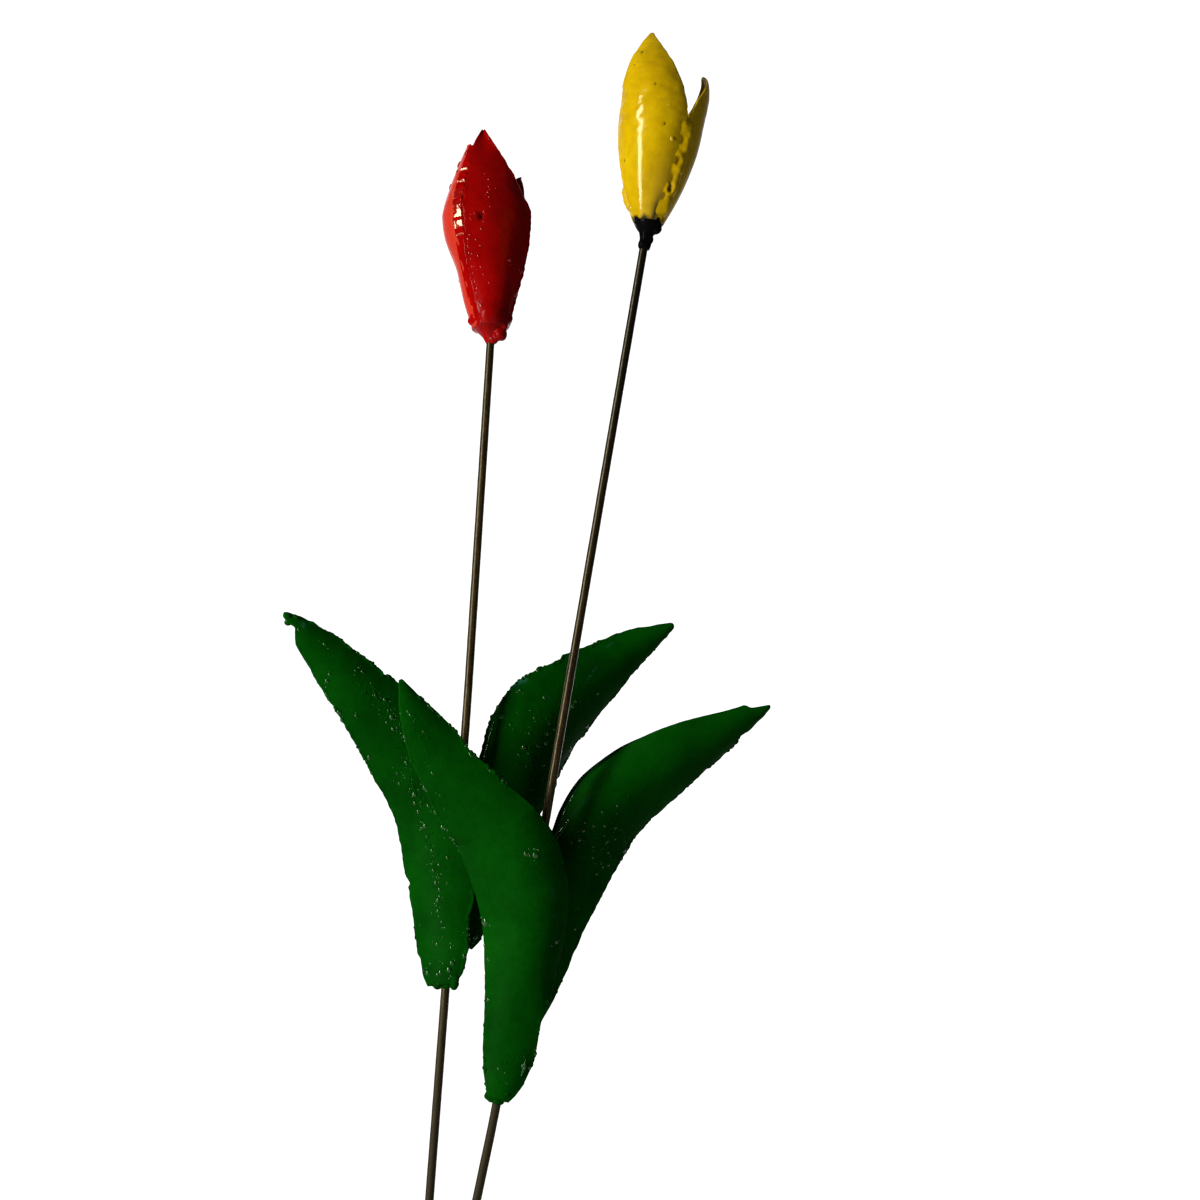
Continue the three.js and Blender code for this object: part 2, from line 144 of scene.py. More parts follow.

# Paint on each petal: how far its middle is pressed in, the edge that is cut back for a broad weld,
# how blunt and how hooked its tip is, how deep it is hollowed below its belly, how rough and rippled
# the paint lies, how clotted and frayed its cut edges are, its soot, its painted light (a paler tone that
# paints a sheen on one petal and light on another's shaded tip), and pits, darkened as painted shade, and
# bubbles as (u, v, radius)
PLAIN_PETAL = dict(press=0, trim=0, hook=0, hollow=0, ripple=0, soot=0, pale=0, pits=[])
PETAL_LOOKS = {
    "red_front_petal": PLAIN_PETAL | dict(
        press=0.15, trim=-1, blunt=0.68, relief=0.5, slag=0.4, ragged=0.02, pits=[(-0.5, 0.525, 2)],
        drops=[
            (-0.175, 0.719, 1), (-0.2, 0.675, 1.2), (0.05, 0.669, 0.9), (-0.225, 0.65, 1.1),
            (-0.325, 0.631, 0.9), (-0.2, 0.619, 1.1), (-0.2, 0.575, 0.9), (-0.65, 0.544, 1.1),
            (-0.375, 0.545, 1.2), (-0.75, 0.513, 1.2), (-0.475, 0.469, 1.2), (-0.65, 0.419, 1.1),
            (-0.8, 0.356, 0.9), (-0.625, 0.344, 1), (0.45, 0.331, 1.3), (-0.325, 0.219, 0.9),
            (-0.75, 0.125, 1.5), (-0.3, 0.745, 0.8), (-0.6, 0.29, 0.8), (-0.5, 0.26, 0.8), (-0.8, 0.44, 1),
            (-0.85, 0.3, 0.9), (-0.8, 0.2, 1), (-0.55, 0.39, 0.8), (-0.42, 0.5, 0.8), (0.98, 0.42, 1.8),
            (0.99, 0.33, 2.2), (0.98, 0.3, 1.8), (0.97, 0.19, 2), (0.98, 0.17, 1.6), (-0.86, 0.42, 1.3),
            (-0.87, 0.39, 1.1), (-0.86, 0.36, 1.2), (-0.85, 0.33, 1), (-0.86, 0.27, 1), (-0.84, 0.23, 1.1),
            (-0.85, 0.18, 1.2), (-0.83, 0.14, 1.4),
        ],
    ),
    # Its paler tone is painted light: its tip, which lies in shade, is painted lighter
    "red_right_petal": PLAIN_PETAL | dict(
        blunt=1.15, hook=-6.5, relief=0.6, slag=0.1, ragged=0.01, pale=0.6,
        drops=[(0.2, 0.5, 1.4), (-0.4, 0.3, 1.2)],
    ),
    # Its paler tone is painted light: a painted sheen on the strip that faces the light
    "red_left_petal": PLAIN_PETAL | dict(
        trim=1, blunt=0.75, hollow=3.7, relief=0.6, slag=0.7, ragged=0.025, pale=0.9,
        drops=[
            (0.85, 0.944, 2.6), (0, 0.906, 2.8), (0.275, 0.788, 2.4), (0.5, 0.85, 1.8), (-0.2, 0.5, 1.2),
            (0.1, 0.3, 1.2),
        ],
    ),
    "yellow_front_petal": PLAIN_PETAL | dict(
        blunt=0.6, relief=0.25, ripple=0.5, slag=0.15, ragged=0.008, soot=1,
        pits=[
            (-0.4, 0.856, 1), (0.2, 0.663, 0.7), (-0.725, 0.288, 0.8), (0.45, 0.463, 0.8), (-0.55, 0.78, 0.6),
        ],
        drops=[(0.7, 0.394, 2), (-0.5, 0.79, 0.8), (-0.96, 0.06, 2.4), (-0.97, 0.13, 1.8), (0.5, 0.56, 0.8)],
    ),
    "yellow_right_petal": PLAIN_PETAL | dict(
        blunt=0.7, hook=5.5, relief=0.25, ripple=0.1, slag=0.2, ragged=0.012, soot=0.6,
        drops=[(-0.3, 0.4, 1)],
    ),
    "yellow_back_petal": PLAIN_PETAL | dict(
        blunt=0.7, relief=0.25, ripple=0.1, slag=0.2, ragged=0.012, soot=0.6,
        drops=[
            (0.2, 0.5, 1), (0.4, 0.3, 0.9), (0.78, 0.15, 6.2), (0.86, 0.17, 3.8), (0.84, 0.125, 5.4),
            (0.9, 0.095, 4.2),
        ],
    ),
}

# Weld along each seam, named by the petal on its left: half width, rise, lean of its crown, size and height
# of its lumps, start, end and height of its ripples, how broad the rippled face is, the heights between
# which its paint shines, and holes, darkened inside as painted shade, as (place across, height, radius)
PLAIN_SEAM = dict(lean=0, broad=0, shine=[], holes=[])
SEAMS = {
    "red_front_petal": PLAIN_SEAM | dict(half=4.5, rise=0.8, grain=4, lumps=0.45, ripples=(10, 100, 0.14)),
    "red_right_petal": PLAIN_SEAM | dict(half=4.5, rise=1.2, grain=4, lumps=0.5, ripples=(20, 100, 0.14)),
    "red_left_petal": PLAIN_SEAM | dict(
        half=4.8, rise=0.8, grain=3.2, lumps=0.3, ripples=(64, 136, 0.26), broad=1,
        shine=[(71, 73), (76.5, 83), (85.5, 97.5), (99.5, 108), (113, 115), (122.5, 128.5)],
    ),
    "yellow_front_petal": PLAIN_SEAM | dict(
        half=6.5, rise=2.2, lean=0.3, grain=4.5, lumps=1.2, ripples=(5, 66, 0.12),
        holes=[
            (-0.55, 56, 2.6), (-0.7, 50, 1.4), (-0.35, 42, 2), (-0.5, 29, 2.4), (-0.2, 23, 1.6),
            (-0.6, 17, 1.8),
        ],
    ),
    "yellow_right_petal": PLAIN_SEAM | dict(
        half=5, rise=1.8, grain=4.5, lumps=0.9, ripples=(5, 66, 0.12),
        holes=[(-0.4, 50, 2.2), (0.3, 31, 2), (-0.2, 18, 1.8)],
    ),
    "yellow_back_petal": PLAIN_SEAM | dict(
        half=4.5, rise=0.4, grain=6, lumps=0.3, ripples=(5, 66, 0.1), holes=[(0.3, 14, 1.6)],
    ),
}

# The molten welds that close the buds: a collar as (height, radius) up the bud's foot, and drops as right,
# back and up from the bud's foot, and radius
FLOWER_FOOTS = {
    "red": Traits(
        collar=[
            (-4.5, 3.6), (-2.5, 4.6), (0.5, 6), (3.7, 8.8), (7.5, 13.4), (11, 15), (15, 15.9), (18, 15.9),
        ],
        drops=[
            (-12.4, -2.5, 13, 4), (13.2, -2.5, 13.5, 4.2), (-9, 8, 12, 4.6), (9, 8, 12, 4.6), (7, -4, 1, 5.2),
            (-6.4, -6.5, 8.5, 3.6), (0, 12, 12, 4.6), (10, -5, 7, 3.6), (2.5, -8.5, 8, 3.4), (2, -2, -2, 4),
        ],
    ),
    "yellow": Traits(
        collar=[(-19, 3.6), (-16, 4.4), (-11, 4.6), (-7, 5.6), (-4, 8.4), (-1, 10.2), (2.5, 10.8), (4.5, 10)],
        drops=[(6.4, -2, -3.6, 4.2), (2.4, -1, -11.8, 3.6), (-1.4, -0.8, -16, 3.8), (-6, -4, 0.5, 4.4)],
    ),
}

# Each leaf has edge notes, left and right: places along the leaf and how far the torch cut strays outward.
# Turns are further turns of its face at places along it. A roll is a tighter curl of its left (-1)
# or right (1) half between two places along it, and how much tighter. Ragged and slag say how rough
# and how clotted its left and right edges are. After them comes a near-black strip of painted shade
# along its left edge: its start, end and width.
# Ridges are runs of paint: their places, half width and rise. Rubs are streaks, some rubbed paint and some a
# painted sheen: their ends, width, strength.
LEAVES = [
    Traits(
        stake=RED, name="left_leaf", foot_height=180, edge_on=False, seat=-18, foot_facing=-18, tip_facing=-5,
        turns=[(0, 0), (0.3, 0), (0.5, 10), (0.7, 26), (1, 36)], roll=(-1, 0, 1, 0), foot_lean=-5,
        foot_back=0, foot_run=158, rise=247, reach=-127, depth=-34, tip_run=123, tip_lean=-50, width=59,
        foot_width=30, widest=0.38, taper=3.2, foot_curl=30, tip_curl=30,
        left=[
            (0, -2.5), (0.012, 0), (0.042, 1.2), (0.05, 4.4), (0.17, 2.4), (0.178, -0.8), (0.2, 2.4),
            (0.34, -1.8), (0.475, 2), (0.59, 0.7), (0.72, -1.3), (0.82, 0), (0.89, 0.4), (0.94, 1.2),
            (0.965, -3.4), (0.985, 0.2), (1, 1.6),
        ],
        right=[
            (0, -6), (0.015, -2.6), (0.03, -1), (0.055, 0.9), (0.105, -0.5), (0.125, 1.1), (0.4, 0),
            (0.735, -1), (0.742, -3.2), (0.752, -1.2), (0.775, -1.1), (0.845, -0.9), (0.905, 3), (0.965, 2.6),
            (1, 1),
        ],
        ragged=(0.5, 0.9), slag=(0.4, 0.9), burnt=(0, 0.1, 0), ridges=[],
        rubs=[(0.2, 0.955, 0.75, 0.962, 1.2, 0.35)], seed=11,
    ),
    Traits(
        stake=RED, name="right_leaf", foot_height=207, edge_on=True, seat=110, foot_facing=25, tip_facing=25,
        turns=[(0, 0), (0.4, 6), (0.6, 21), (1, 20)], roll=(-1, 0.2, 0.8, 0.3), foot_lean=12.6, foot_back=4,
        foot_run=155, rise=245, reach=131, depth=36, tip_run=139, tip_lean=53, width=66.5, foot_width=17,
        widest=0.54, taper=2.2, foot_curl=25, tip_curl=45,
        left=[
            (0, -3), (0.025, 0), (0.385, 1), (0.415, 1), (0.495, 1.8), (0.505, 3.3), (0.515, 1.5),
            (0.565, 0.8), (0.635, 0.8), (0.685, -0.8), (0.75, -2.7), (0.76, -1.2), (0.825, -1.4),
            (0.875, 0.4), (0.93, 2.7), (0.97, 2), (1, 1.2),
        ],
        right=[
            (0, -5), (0.015, -2), (0.04, 0), (0.41, 0.8), (0.475, 0), (0.545, 0), (0.578, 1.9), (0.595, 1.4),
            (0.61, -0.6), (0.645, 0), (0.695, 2.4), (0.71, 0.6), (0.78, 1.3), (0.835, 2.2), (0.85, 0.4),
            (0.865, -0.5), (0.93, 1.2), (0.975, 1.6), (1, 1.8),
        ],
        ragged=(0.6, 0.9), slag=(0.9, 0.7), burnt=(0.24, 0.6, 3.6),
        ridges=[((-0.9, 0.34), (-0.92, 0.42), (-0.95, 0.5), 0.8, 0.7)],
        rubs=[
            (-0.08, 0.76, -0.28, 0.81, 0.5, 0.35), (-0.68, 0.86, -0.75, 0.875, 0.8, 0.25),
            (-0.45, 0.64, -0.38, 0.65, 0.6, 0.25), (-1.05, 0.6, -0.95, 0.64, 1.6, 0.8),
        ],
        seed=23,
    ),
    Traits(
        stake=YELLOW, name="left_leaf", foot_height=108, edge_on=False, seat=-5, foot_facing=-5,
        tip_facing=-5,
        turns=[(0, 0), (0.35, -11), (0.5, -20), (0.62, -24), (0.72, -12), (0.82, 10), (0.92, 34), (1, 40)],
        roll=(1, 0.1, 0.85, 0.9), foot_lean=1.6, foot_back=0, foot_run=177, rise=262, reach=-114, depth=-30,
        tip_run=150, tip_lean=-40, width=63, foot_width=26, widest=0.41, taper=3.2, foot_curl=36, tip_curl=24,
        left=[
            (0, -8), (0.012, -5), (0.035, -1), (0.06, 0.6), (0.145, 1.1), (0.2, 1.3), (0.315, 0.8),
            (0.45, 5.6), (0.55, 5.6), (0.64, 3), (0.825, 2.7), (0.88, 4.4), (0.925, 4), (0.965, 2.6),
            (1, 0.6),
        ],
        right=[
            (0, -4.4), (0.01, -1.4), (0.025, 1.6), (0.06, 3.2), (0.1, -0.4), (0.12, -1.4), (0.14, 1),
            (0.25, 2.2), (0.395, 4.2), (0.53, 2.2), (0.625, -1.8), (0.73, -5.2), (0.83, -5.4), (0.89, -1.2),
            (0.94, -0.7), (0.97, -0.3), (1, 0.4),
        ],
        ragged=(0.3, 0.3), slag=(0.25, 0.35), burnt=(0, 0.1, 0),
        ridges=[((0.84, 0.036), (0.83, 0.048), (0.82, 0.06), 0.9, 0.9)],
        rubs=[
            (0.72, 0.4, 0.7, 0.37, 1.3, 0.12), (0.76, 0.385, 0.78, 0.37, 1, 0.12),
            (0.68, 0.335, 0.78, 0.332, 1.2, 0.14),
        ],
        seed=37,
    ),
    Traits(
        stake=YELLOW, name="right_leaf", foot_height=138, edge_on=True, seat=110, foot_facing=25,
        tip_facing=25, turns=[(0, 0), (0.4, 0), (0.65, 15), (1, 20)], roll=(-1, 0.15, 0.85, 1.1),
        foot_lean=7.3, foot_back=4, foot_run=204.5, rise=263, reach=129.5, depth=24, tip_run=161, tip_lean=48,
        width=64.8, foot_width=12, widest=0.51, taper=2.8, foot_curl=25, tip_curl=45,
        left=[
            (0, 0), (0.3, -0.5), (0.36, 0.6), (0.46, 1.4), (0.555, 2), (0.655, -0.4), (0.75, -1.6),
            (0.845, 0.5), (0.93, 1.4), (0.955, 2.2), (0.968, 3.2), (0.974, 0.2), (1, 0.3),
        ],
        right=[
            (0, -1), (0.045, -2.4), (0.075, 0), (0.1, 0.4), (0.2, 0), (0.28, 1.3), (0.43, 0.9), (0.45, 1.8),
            (0.47, 0.6), (0.495, 0.8), (0.64, 0.6), (0.652, -0.6), (0.67, 0.2), (0.765, -1.2), (0.84, -0.8),
            (0.85, -1.6), (0.862, 1), (0.885, 1.8), (0.925, 2.4), (0.938, -2.4), (0.952, 0.6), (0.97, 1.6),
            (1, 0.6),
        ],
        ragged=(0.1, 0.7), slag=(0.1, 0.5), burnt=(0.24, 0.8, 5.2),
        ridges=[
            ((-0.84, 0.3), (-0.84, 0.42), (-0.86, 0.52), (-0.94, 0.62), 0.7, 0.8),
            ((-0.84, 0.36), (-0.76, 0.4), (-0.66, 0.43), 2.4, 0.9),
        ],
        rubs=[(-0.66, 0.43, -0.5, 0.545, 1, 0.14)], seed=41,
    ),
]

# Bubbles and spatter on each leaf, as (u, v, radius)
LEAF_DROPS = {
    "red_left_leaf": [
        (-0.675, 0.83, 1.9), (-0.475, 0.835, 1.4), (-0.9, 0.745, 1.9), (0.45, 0.785, 1.4), (0.3, 0.8, 1.2),
        (0.2, 0.715, 1.4), (0.3, 0.69, 1.9), (0.15, 0.635, 2.2), (0.325, 0.605, 2.3), (0.025, 0.605, 1.7),
        (-0.575, 0.705, 1.2), (-0.88, 0.57, 1.9), (-0.125, 0.495, 1.5), (-0.4, 0.475, 1.2),
        (-0.475, 0.44, 1.2), (-0.2, 0.395, 2), (-0.15, 0.305, 2), (0.2, 0.335, 2), (0.3, 0.295, 2),
        (0.025, 0.355, 1.4), (-0.25, 0.37, 1.7), (-0.25, 0.345, 1.5), (-0.1, 0.245, 1.5), (0.3, 0.225, 1.5),
        (-0.075, 0.175, 1.7), (-0.05, 0.14, 1.7), (-0.12, 0.2, 1.4), (0.02, 0.16, 1.4), (-0.08, 0.12, 1.4),
        (0.04, 0.1, 1.2), (-0.175, 0.065, 1.4), (0.325, 0.025, 2.2), (0.45, 0.035, 2), (-0.1, 0.02, 1.7),
        (-0.75, 0.02, 2), (0.25, 0.895, 1.4), (1, 0.6, 2), (0.9, 0.66, 1.9), (0.95, 0.555, 2),
        (0, 0.992, 2.8), (-1, 0.984, 2.4), (1, 0.98, 2.2), (-0.2, 0.955, 1.5), (0.2, 0.66, 1.2),
        (0.48, 0.8, 1),
    ],
    "red_right_leaf": [
        (-0.2, 0.47, 1.9), (0.15, 0.53, 1.5), (-0.225, 0.44, 1.2), (-0.65, 0.51, 1.4), (-0.225, 0.52, 1.2),
        (0.075, 0.56, 1.4), (-0.325, 0.57, 1.2), (-0.45, 0.64, 1.4), (0.1, 0.69, 1.7), (0.075, 0.705, 1.5),
        (0.15, 0.59, 1.2), (-0.88, 0.52, 2.3), (-0.85, 0.61, 1.7), (0.85, 0.6, 1.9), (0.88, 0.7, 1.9),
        (0.225, 0.02, 2.2), (-0.4, 0.015, 1.9),
    ],
    "yellow_left_leaf": [
        (0.375, 0.52, 1.9), (0.5, 0.505, 2.3), (-0.94, 0.315, 3.3), (0.8, 0.05, 1.9), (0.825, 0.27, 1.4),
        (-0.9, 0.22, 1.2), (-0.9, 0.14, 1.5),
    ],
    "yellow_right_leaf": [
        (-0.3, 0.42, 1.7), (-0.25, 0.39, 1.7), (-0.1, 0.45, 1.2), (0.075, 0.475, 1.2), (-0.325, 0.445, 1.2),
        (0.92, 0.45, 2), (0.3, 0.5, 1), (0.45, 0.46, 1), (0.5, 0.4, 1), (0.2, 0.36, 1), (0.55, 0.35, 1),
    ],
}

# Beads of slag along each leaf's cut edges, as edge, start, end, number and radius
EDGE_BEADS = {
    "red_left_leaf": [
        (1, 0.72, 0.95, 40, 1.2), (1, 0.3, 0.6, 12, 1), (-1, 0.5, 0.86, 26, 1.2), (-1, 0.02, 0.2, 10, 1.2),
        (1, 0.02, 0.14, 12, 1.3),
    ],
    "red_right_leaf": [
        (-1, 0.48, 0.86, 44, 1.3), (1, 0.4, 0.7, 26, 1.4), (1, 0.7, 0.95, 14, 1.2), (1, 0.02, 0.1, 8, 1.5),
        (-1, 0.02, 0.1, 7, 1.5),
    ],
    "yellow_left_leaf": [
        (1, 0.7, 0.97, 60, 1.3), (-1, 0.08, 0.3, 12, 1), (1, 0.02, 0.16, 20, 1.3), (-1, 0.02, 0.05, 6, 1.4),
        (-1, 0.6, 0.96, 44, 1.2),
    ],
    "yellow_right_leaf": [(1, 0.38, 0.95, 34, 1.1), (1, 0.85, 0.95, 6, 1.6), (1, 0.02, 0.12, 8, 1.2)],
}

# Fine spatter on each leaf, as middle u, middle v, spread across and along, and number
LEAF_SCATTER = {
    "red_left_leaf": [
        (0.15, 0.7, 0.12, 0.05, 50), (0.1, 0.6, 0.1, 0.05, 40), (-0.15, 0.42, 0.12, 0.06, 60),
        (-0.2, 0.33, 0.1, 0.04, 40), (-0.05, 0.16, 0.1, 0.06, 90), (0, 0.05, 0.5, 0.03, 30),
    ],
    "red_right_leaf": [(-0.1, 0.56, 0.35, 0.09, 60), (0.4, 0.5, 0.3, 0.1, 30)],
    "yellow_left_leaf": [
        (0.45, 0.52, 0.06, 0.008, 10), (-0.55, 0.93, 0.2, 0.02, 20), (-0.75, 0.8, 0.08, 0.05, 24),
        (0, 0.03, 0.5, 0.02, 20),
    ],
    "yellow_right_leaf": [(0.1, 0.46, 0.35, 0.07, 60), (0.45, 0.4, 0.25, 0.12, 60)],
}


def mix(a, b, share):
    return a + (b - a) * share


def smooth(low, high, x):
    t = np.clip((np.asarray(x, float) - low) / (high - low), 0, 1)
    return t * t * (3 - 2 * t)


def between(start, end, fade_in, fade_out, x):
    """One between two places, fading in after the first and out before the second."""
    return smooth(start, start + fade_in, x) * (1 - smooth(end - fade_out, end, x))


def unit(vectors):
    return vectors / np.maximum(np.linalg.norm(vectors, axis=-1, keepdims=True), 1e-12)


def azimuth_direction(azimuth):
    return np.array([math.sin(radians(azimuth)), -math.cos(radians(azimuth)), 0])


def lean_direction(right, back):
    return unit(np.array([math.tan(radians(right)), math.tan(radians(back)), 1]))


def turn_from_up(direction):
    return np.array(Vector((0, 0, 1)).rotation_difference(Vector(direction)).to_matrix())


def noise(points, size, seed):
    """Smooth lattice noise from -1 to 1 with features of about the given size."""
    p = np.asarray(points, float) / size
    cell = np.floor(p).astype(np.int64)
    part = p - cell
    part = part * part * (3 - 2 * part)
    total = np.zeros(p.shape[:-1])
    for corner in range(8):
        step = np.array([corner & 1, (corner >> 1) & 1, (corner >> 2) & 1])
        key = (cell + step) @ np.array([73856093, 19349663, 83492791]) + seed * 2654435761
        key = (key ^ (key >> 13)) * 1274126177 & 0xFFFFFFFF
        key = (key ^ (key >> 16)) * 2246822519 & 0xFFFFFFFF
        value = ((key ^ (key >> 15)) & 0xFFFF) / 32767.5 - 1
        weight = np.prod(np.where(step == 1, part, 1 - part), axis=-1)
        total = total + weight * value
    return total


def in_scene(name, data):
    """New object that is linked to the scene."""
    made = bpy.data.objects.new(name, data)
    bpy.context.scene.collection.objects.link(made)
    return made


class Shape:
    """Points and faces of one piece. Marks say how dark and how light the paint is at each point: one holds
    soot and painted shade, the other rubbed paint and painted light, and on a stem painted shade.
    """

    def __init__(self):
        self.points = []
        self.faces = []
        self.glossy = []
        self.marks = {"soot": [], "rub_and_painted_light": []}
        self.count = 0

    def add(self, points, faces, glossy=False, **marks):
        points = np.asarray(points, float).reshape(-1, 3)
        self.points.append(points)
        self.faces.extend([[index + self.count for index in face] for face in faces])
        self.glossy.extend(np.broadcast_to(glossy, len(faces)))
        for label, values in self.marks.items():
            values.append(np.broadcast_to(marks.get(label, 0), (len(points),)))
        self.count += len(points)

    def object(self, name):
        mesh = bpy.data.meshes.new(name)
        mesh.from_pydata((np.concatenate(self.points) * MM).tolist(), [], self.faces)
        for label, values in self.marks.items():
            layer = mesh.attributes.new(label, "FLOAT", "POINT")
            layer.data.foreach_set("value", np.concatenate(values).astype(np.float32))
        mesh.polygons.foreach_set("use_smooth", np.ones(len(mesh.polygons), bool))
        mesh.polygons.foreach_set("material_index", np.array(self.glossy, np.int32))
        mesh.update()
        return in_scene(name, mesh)


def ring_points(row, sides):
    """Numbers of the points of one ring of a tube."""
    return list(range(row * sides, (row + 1) * sides))


def ring_faces(rings, sides, flip=False):
    """Faces between the rings of a tube."""
    faces = []
    for row in range(rings - 1):
        for a in ring_points(row, sides):
            b = row * sides + (a + 1) % sides
            faces.append([a, a + sides, b + sides, b] if flip else [a, b, b + sides, a + sides])
    return faces


def ball(subdivisions):
    mesh = bmesh.new()
    bmesh.ops.create_icosphere(mesh, subdivisions=subdivisions, radius=1)
    points = np.array([vert.co[:] for vert in mesh.verts])
    faces = [[vert.index for vert in face.verts] for face in mesh.faces]
    mesh.free()
    return points, faces


SMALL_BALL = ball(2)
LARGE_BALL = ball(3)


def add_blob(shape, centre, axes, radii, seed, uneven=0.16, large=False, glossy=True):
    """Uneven drop with a radius along each of three axes."""
    points, faces = LARGE_BALL if large else SMALL_BALL
    swell = 1 + uneven * noise(points + seed * 3.7, 0.9, seed)
    local = points * swell[:, None] * np.asarray(radii)
    shape.add(centre + local @ np.asarray(axes), faces, glossy)


def fused(shape, name, steps):
    """One molten skin round all the drops of a shape."""
    piece = shape.object(name)
    remesh = piece.modifiers.new("fuse", "REMESH")
    remesh.mode = "VOXEL"
    remesh.voxel_size = WELD_VOXEL * MM
    soften = piece.modifiers.new("soften", "SMOOTH")
    soften.factor = 0.5
    soften.iterations = steps
    graph = bpy.context.evaluated_depsgraph_get()
    mesh = bpy.data.meshes.new_from_object(piece.evaluated_get(graph))
    piece.modifiers.clear()
    loose = piece.data
    piece.data = mesh
    bpy.data.meshes.remove(loose)
    mesh.polygons.foreach_set("use_smooth", np.ones(len(mesh.polygons), bool))
    mesh.polygons.foreach_set("material_index", np.zeros(len(mesh.polygons), np.int32))
    return piece


def pillow(shape, outer, inner, film=None, **marks):
    """Closed skin round two grids of points that share their border. Rows in film are glossy."""
    rows, columns = outer.shape[:2]
    film = np.zeros(rows, bool) if film is None else film
    within = np.zeros((rows, columns), bool)
    within[1:-1, 1:-1] = True
    front = np.arange(rows * columns).reshape(rows, columns)
    back = front.copy()
    back[within] = rows * columns + np.arange(within.sum())
    faces = []
    for grid, flip in ((front, 1), (back, -1)):
        quads = np.stack([grid[:-1, :-1], grid[:-1, 1:], grid[1:, 1:], grid[1:, :-1]], axis=-1).reshape(-1, 4)
        faces.extend(quads[:, ::flip].tolist())
    points = np.concatenate([outer.reshape(-1, 3), inner[within]])
    spread = {label: np.concatenate([values.reshape(-1), values[within]]) for label, values in marks.items()}
    shape.add(points, faces, np.tile(np.repeat(film[:-1], columns - 1), 2), **spread)


def grid_frame(grid):
    """Directions across, along and out of a grid of points."""
    across = unit(np.gradient(grid, axis=1))
    along = unit(np.gradient(grid, axis=0))
    return across, along, unit(np.cross(across, along))


def run_along(grid, axis):
    """Length along a grid's rows or columns from their first point."""
    steps = np.linalg.norm(np.diff(grid, axis=axis), axis=-1)
    start = np.zeros_like(np.take(steps, [0], axis))
    return np.concatenate([start, np.cumsum(steps, axis=axis)], axis=axis)


def seat_on(side, u, v):
    """Place on a sheet's outer side with its directions across, along and out."""
    row = int(np.abs(side.v - v).argmin())
    column = int(np.abs(side.u[row] - u).argmin())
    across = side.across[row, column]
    normal = side.normal[row, column]
    return side.outer[row, column], np.array([across, np.cross(normal, across), normal])


def add_drop(shape, side, u, v, radii, seed, glossy=True):
    """Drop at a place on a sheet, a little sunk into the paint."""
    place, axes = seat_on(side, u, v)
    add_blob(shape, place - axes[2] * radii[0] * DROP_SINK, axes, radii, seed, glossy=glossy)


def add_drops(shape, side, drops, seed, specks):
    """Bubbles and spatter under the paint, as (u, v, radius), with finer specks round each."""
    chance = random.Random(seed)
    for index, (u, v, radius) in enumerate(drops):
        radii = radius, radius * 1.15, radius * DROP_FLATNESS
        add_drop(shape, side, u, v, radii, seed + index, glossy=v < 0.97)
        for speck in range(specks):
            size = radius * chance.uniform(0.25, 0.5)
            near = u + chance.gauss(0, 0.07), v + chance.gauss(0, 0.012)
            add_drop(shape, side, *near, (size, size, size * DROP_FLATNESS), seed + speck)


def add_scatter(shape, side, patches, seed):
    """Fine spatter over patches of a sheet, as middle u, middle v, spread across and along, and number."""
    chance = random.Random(seed)
    for u, v, wide, tall, number in patches:
        for speck in range(number):
            near = chance.gauss(u, wide), min(max(chance.gauss(v, tall), 0.01), 0.98)
            size = 0.4 + 0.9 * chance.random() ** 3
            radii = size, size * 1.2, size * 0.6
            add_drop(shape, side, *near, radii, seed + speck, glossy=chance.random() < 0.3)


def add_edge_beads(shape, side, beads, seed):
    """Beads of slag along a cut edge, as edge, start, end, number and radius."""
    chance = random.Random(seed)
    for edge, start, end, number, radius in beads:
        for bead in range(number):
            place, axes = seat_on(side, edge * 9, chance.uniform(start, end))
            size = radius * chance.uniform(0.55, 1.25)
            inward = -edge * axes[0] * size * chance.uniform(0.2, 1.4)
            radii = size, size * chance.uniform(0.9, 1.6), size * 0.9
            add_blob(shape, place + inward, axes, radii, seed + bead, glossy=chance.random() < 0.25)


def add_ridge(shape, side, route, half_width, rise, seed):
    """Run of paint that stands on a sheet along a route of (u, v) places."""
    route = np.array(route)
    share = np.linspace(0, 1, RIDGE_STEPS)
    stops = np.linspace(0, 1, len(route))
    route_u = np.interp(share, stops, route[:, 0])
    route_v = np.interp(share, stops, route[:, 1])
    seats = [seat_on(side, u, v) for u, v in zip(route_u, route_v)]
    line = np.array([place for place, _ in seats])
    for _ in range(3):
        line[1:-1] = (line[:-2] + 2 * line[1:-1] + line[2:]) / 4
    normal = unit(np.array([axes[2] for _, axes in seats]))
    along = unit(np.gradient(line, axis=0))
    across = unit(np.cross(along, normal))
    size = np.sin(math.pi * np.clip(share, 0.01, 0.99)) ** 0.4 * (1 + 0.45 * noise(line, 3, seed))
    turn = np.linspace(0, 2 * math.pi, RIDGE_SIDES, endpoint=False)
    rings = line[:, None] + across[:, None] * (half_width * size[:, None] * np.cos(turn))[..., None]
    rings = rings + normal[:, None] * (rise * size[:, None] * np.sin(turn))[..., None]
    faces = ring_faces(RIDGE_STEPS, RIDGE_SIDES, flip=True)
    faces += [ring_points(0, RIDGE_SIDES), ring_points(RIDGE_STEPS - 1, RIDGE_SIDES)[::-1]]
    shape.add(rings.reshape(-1, 3), faces, True)


# Stems

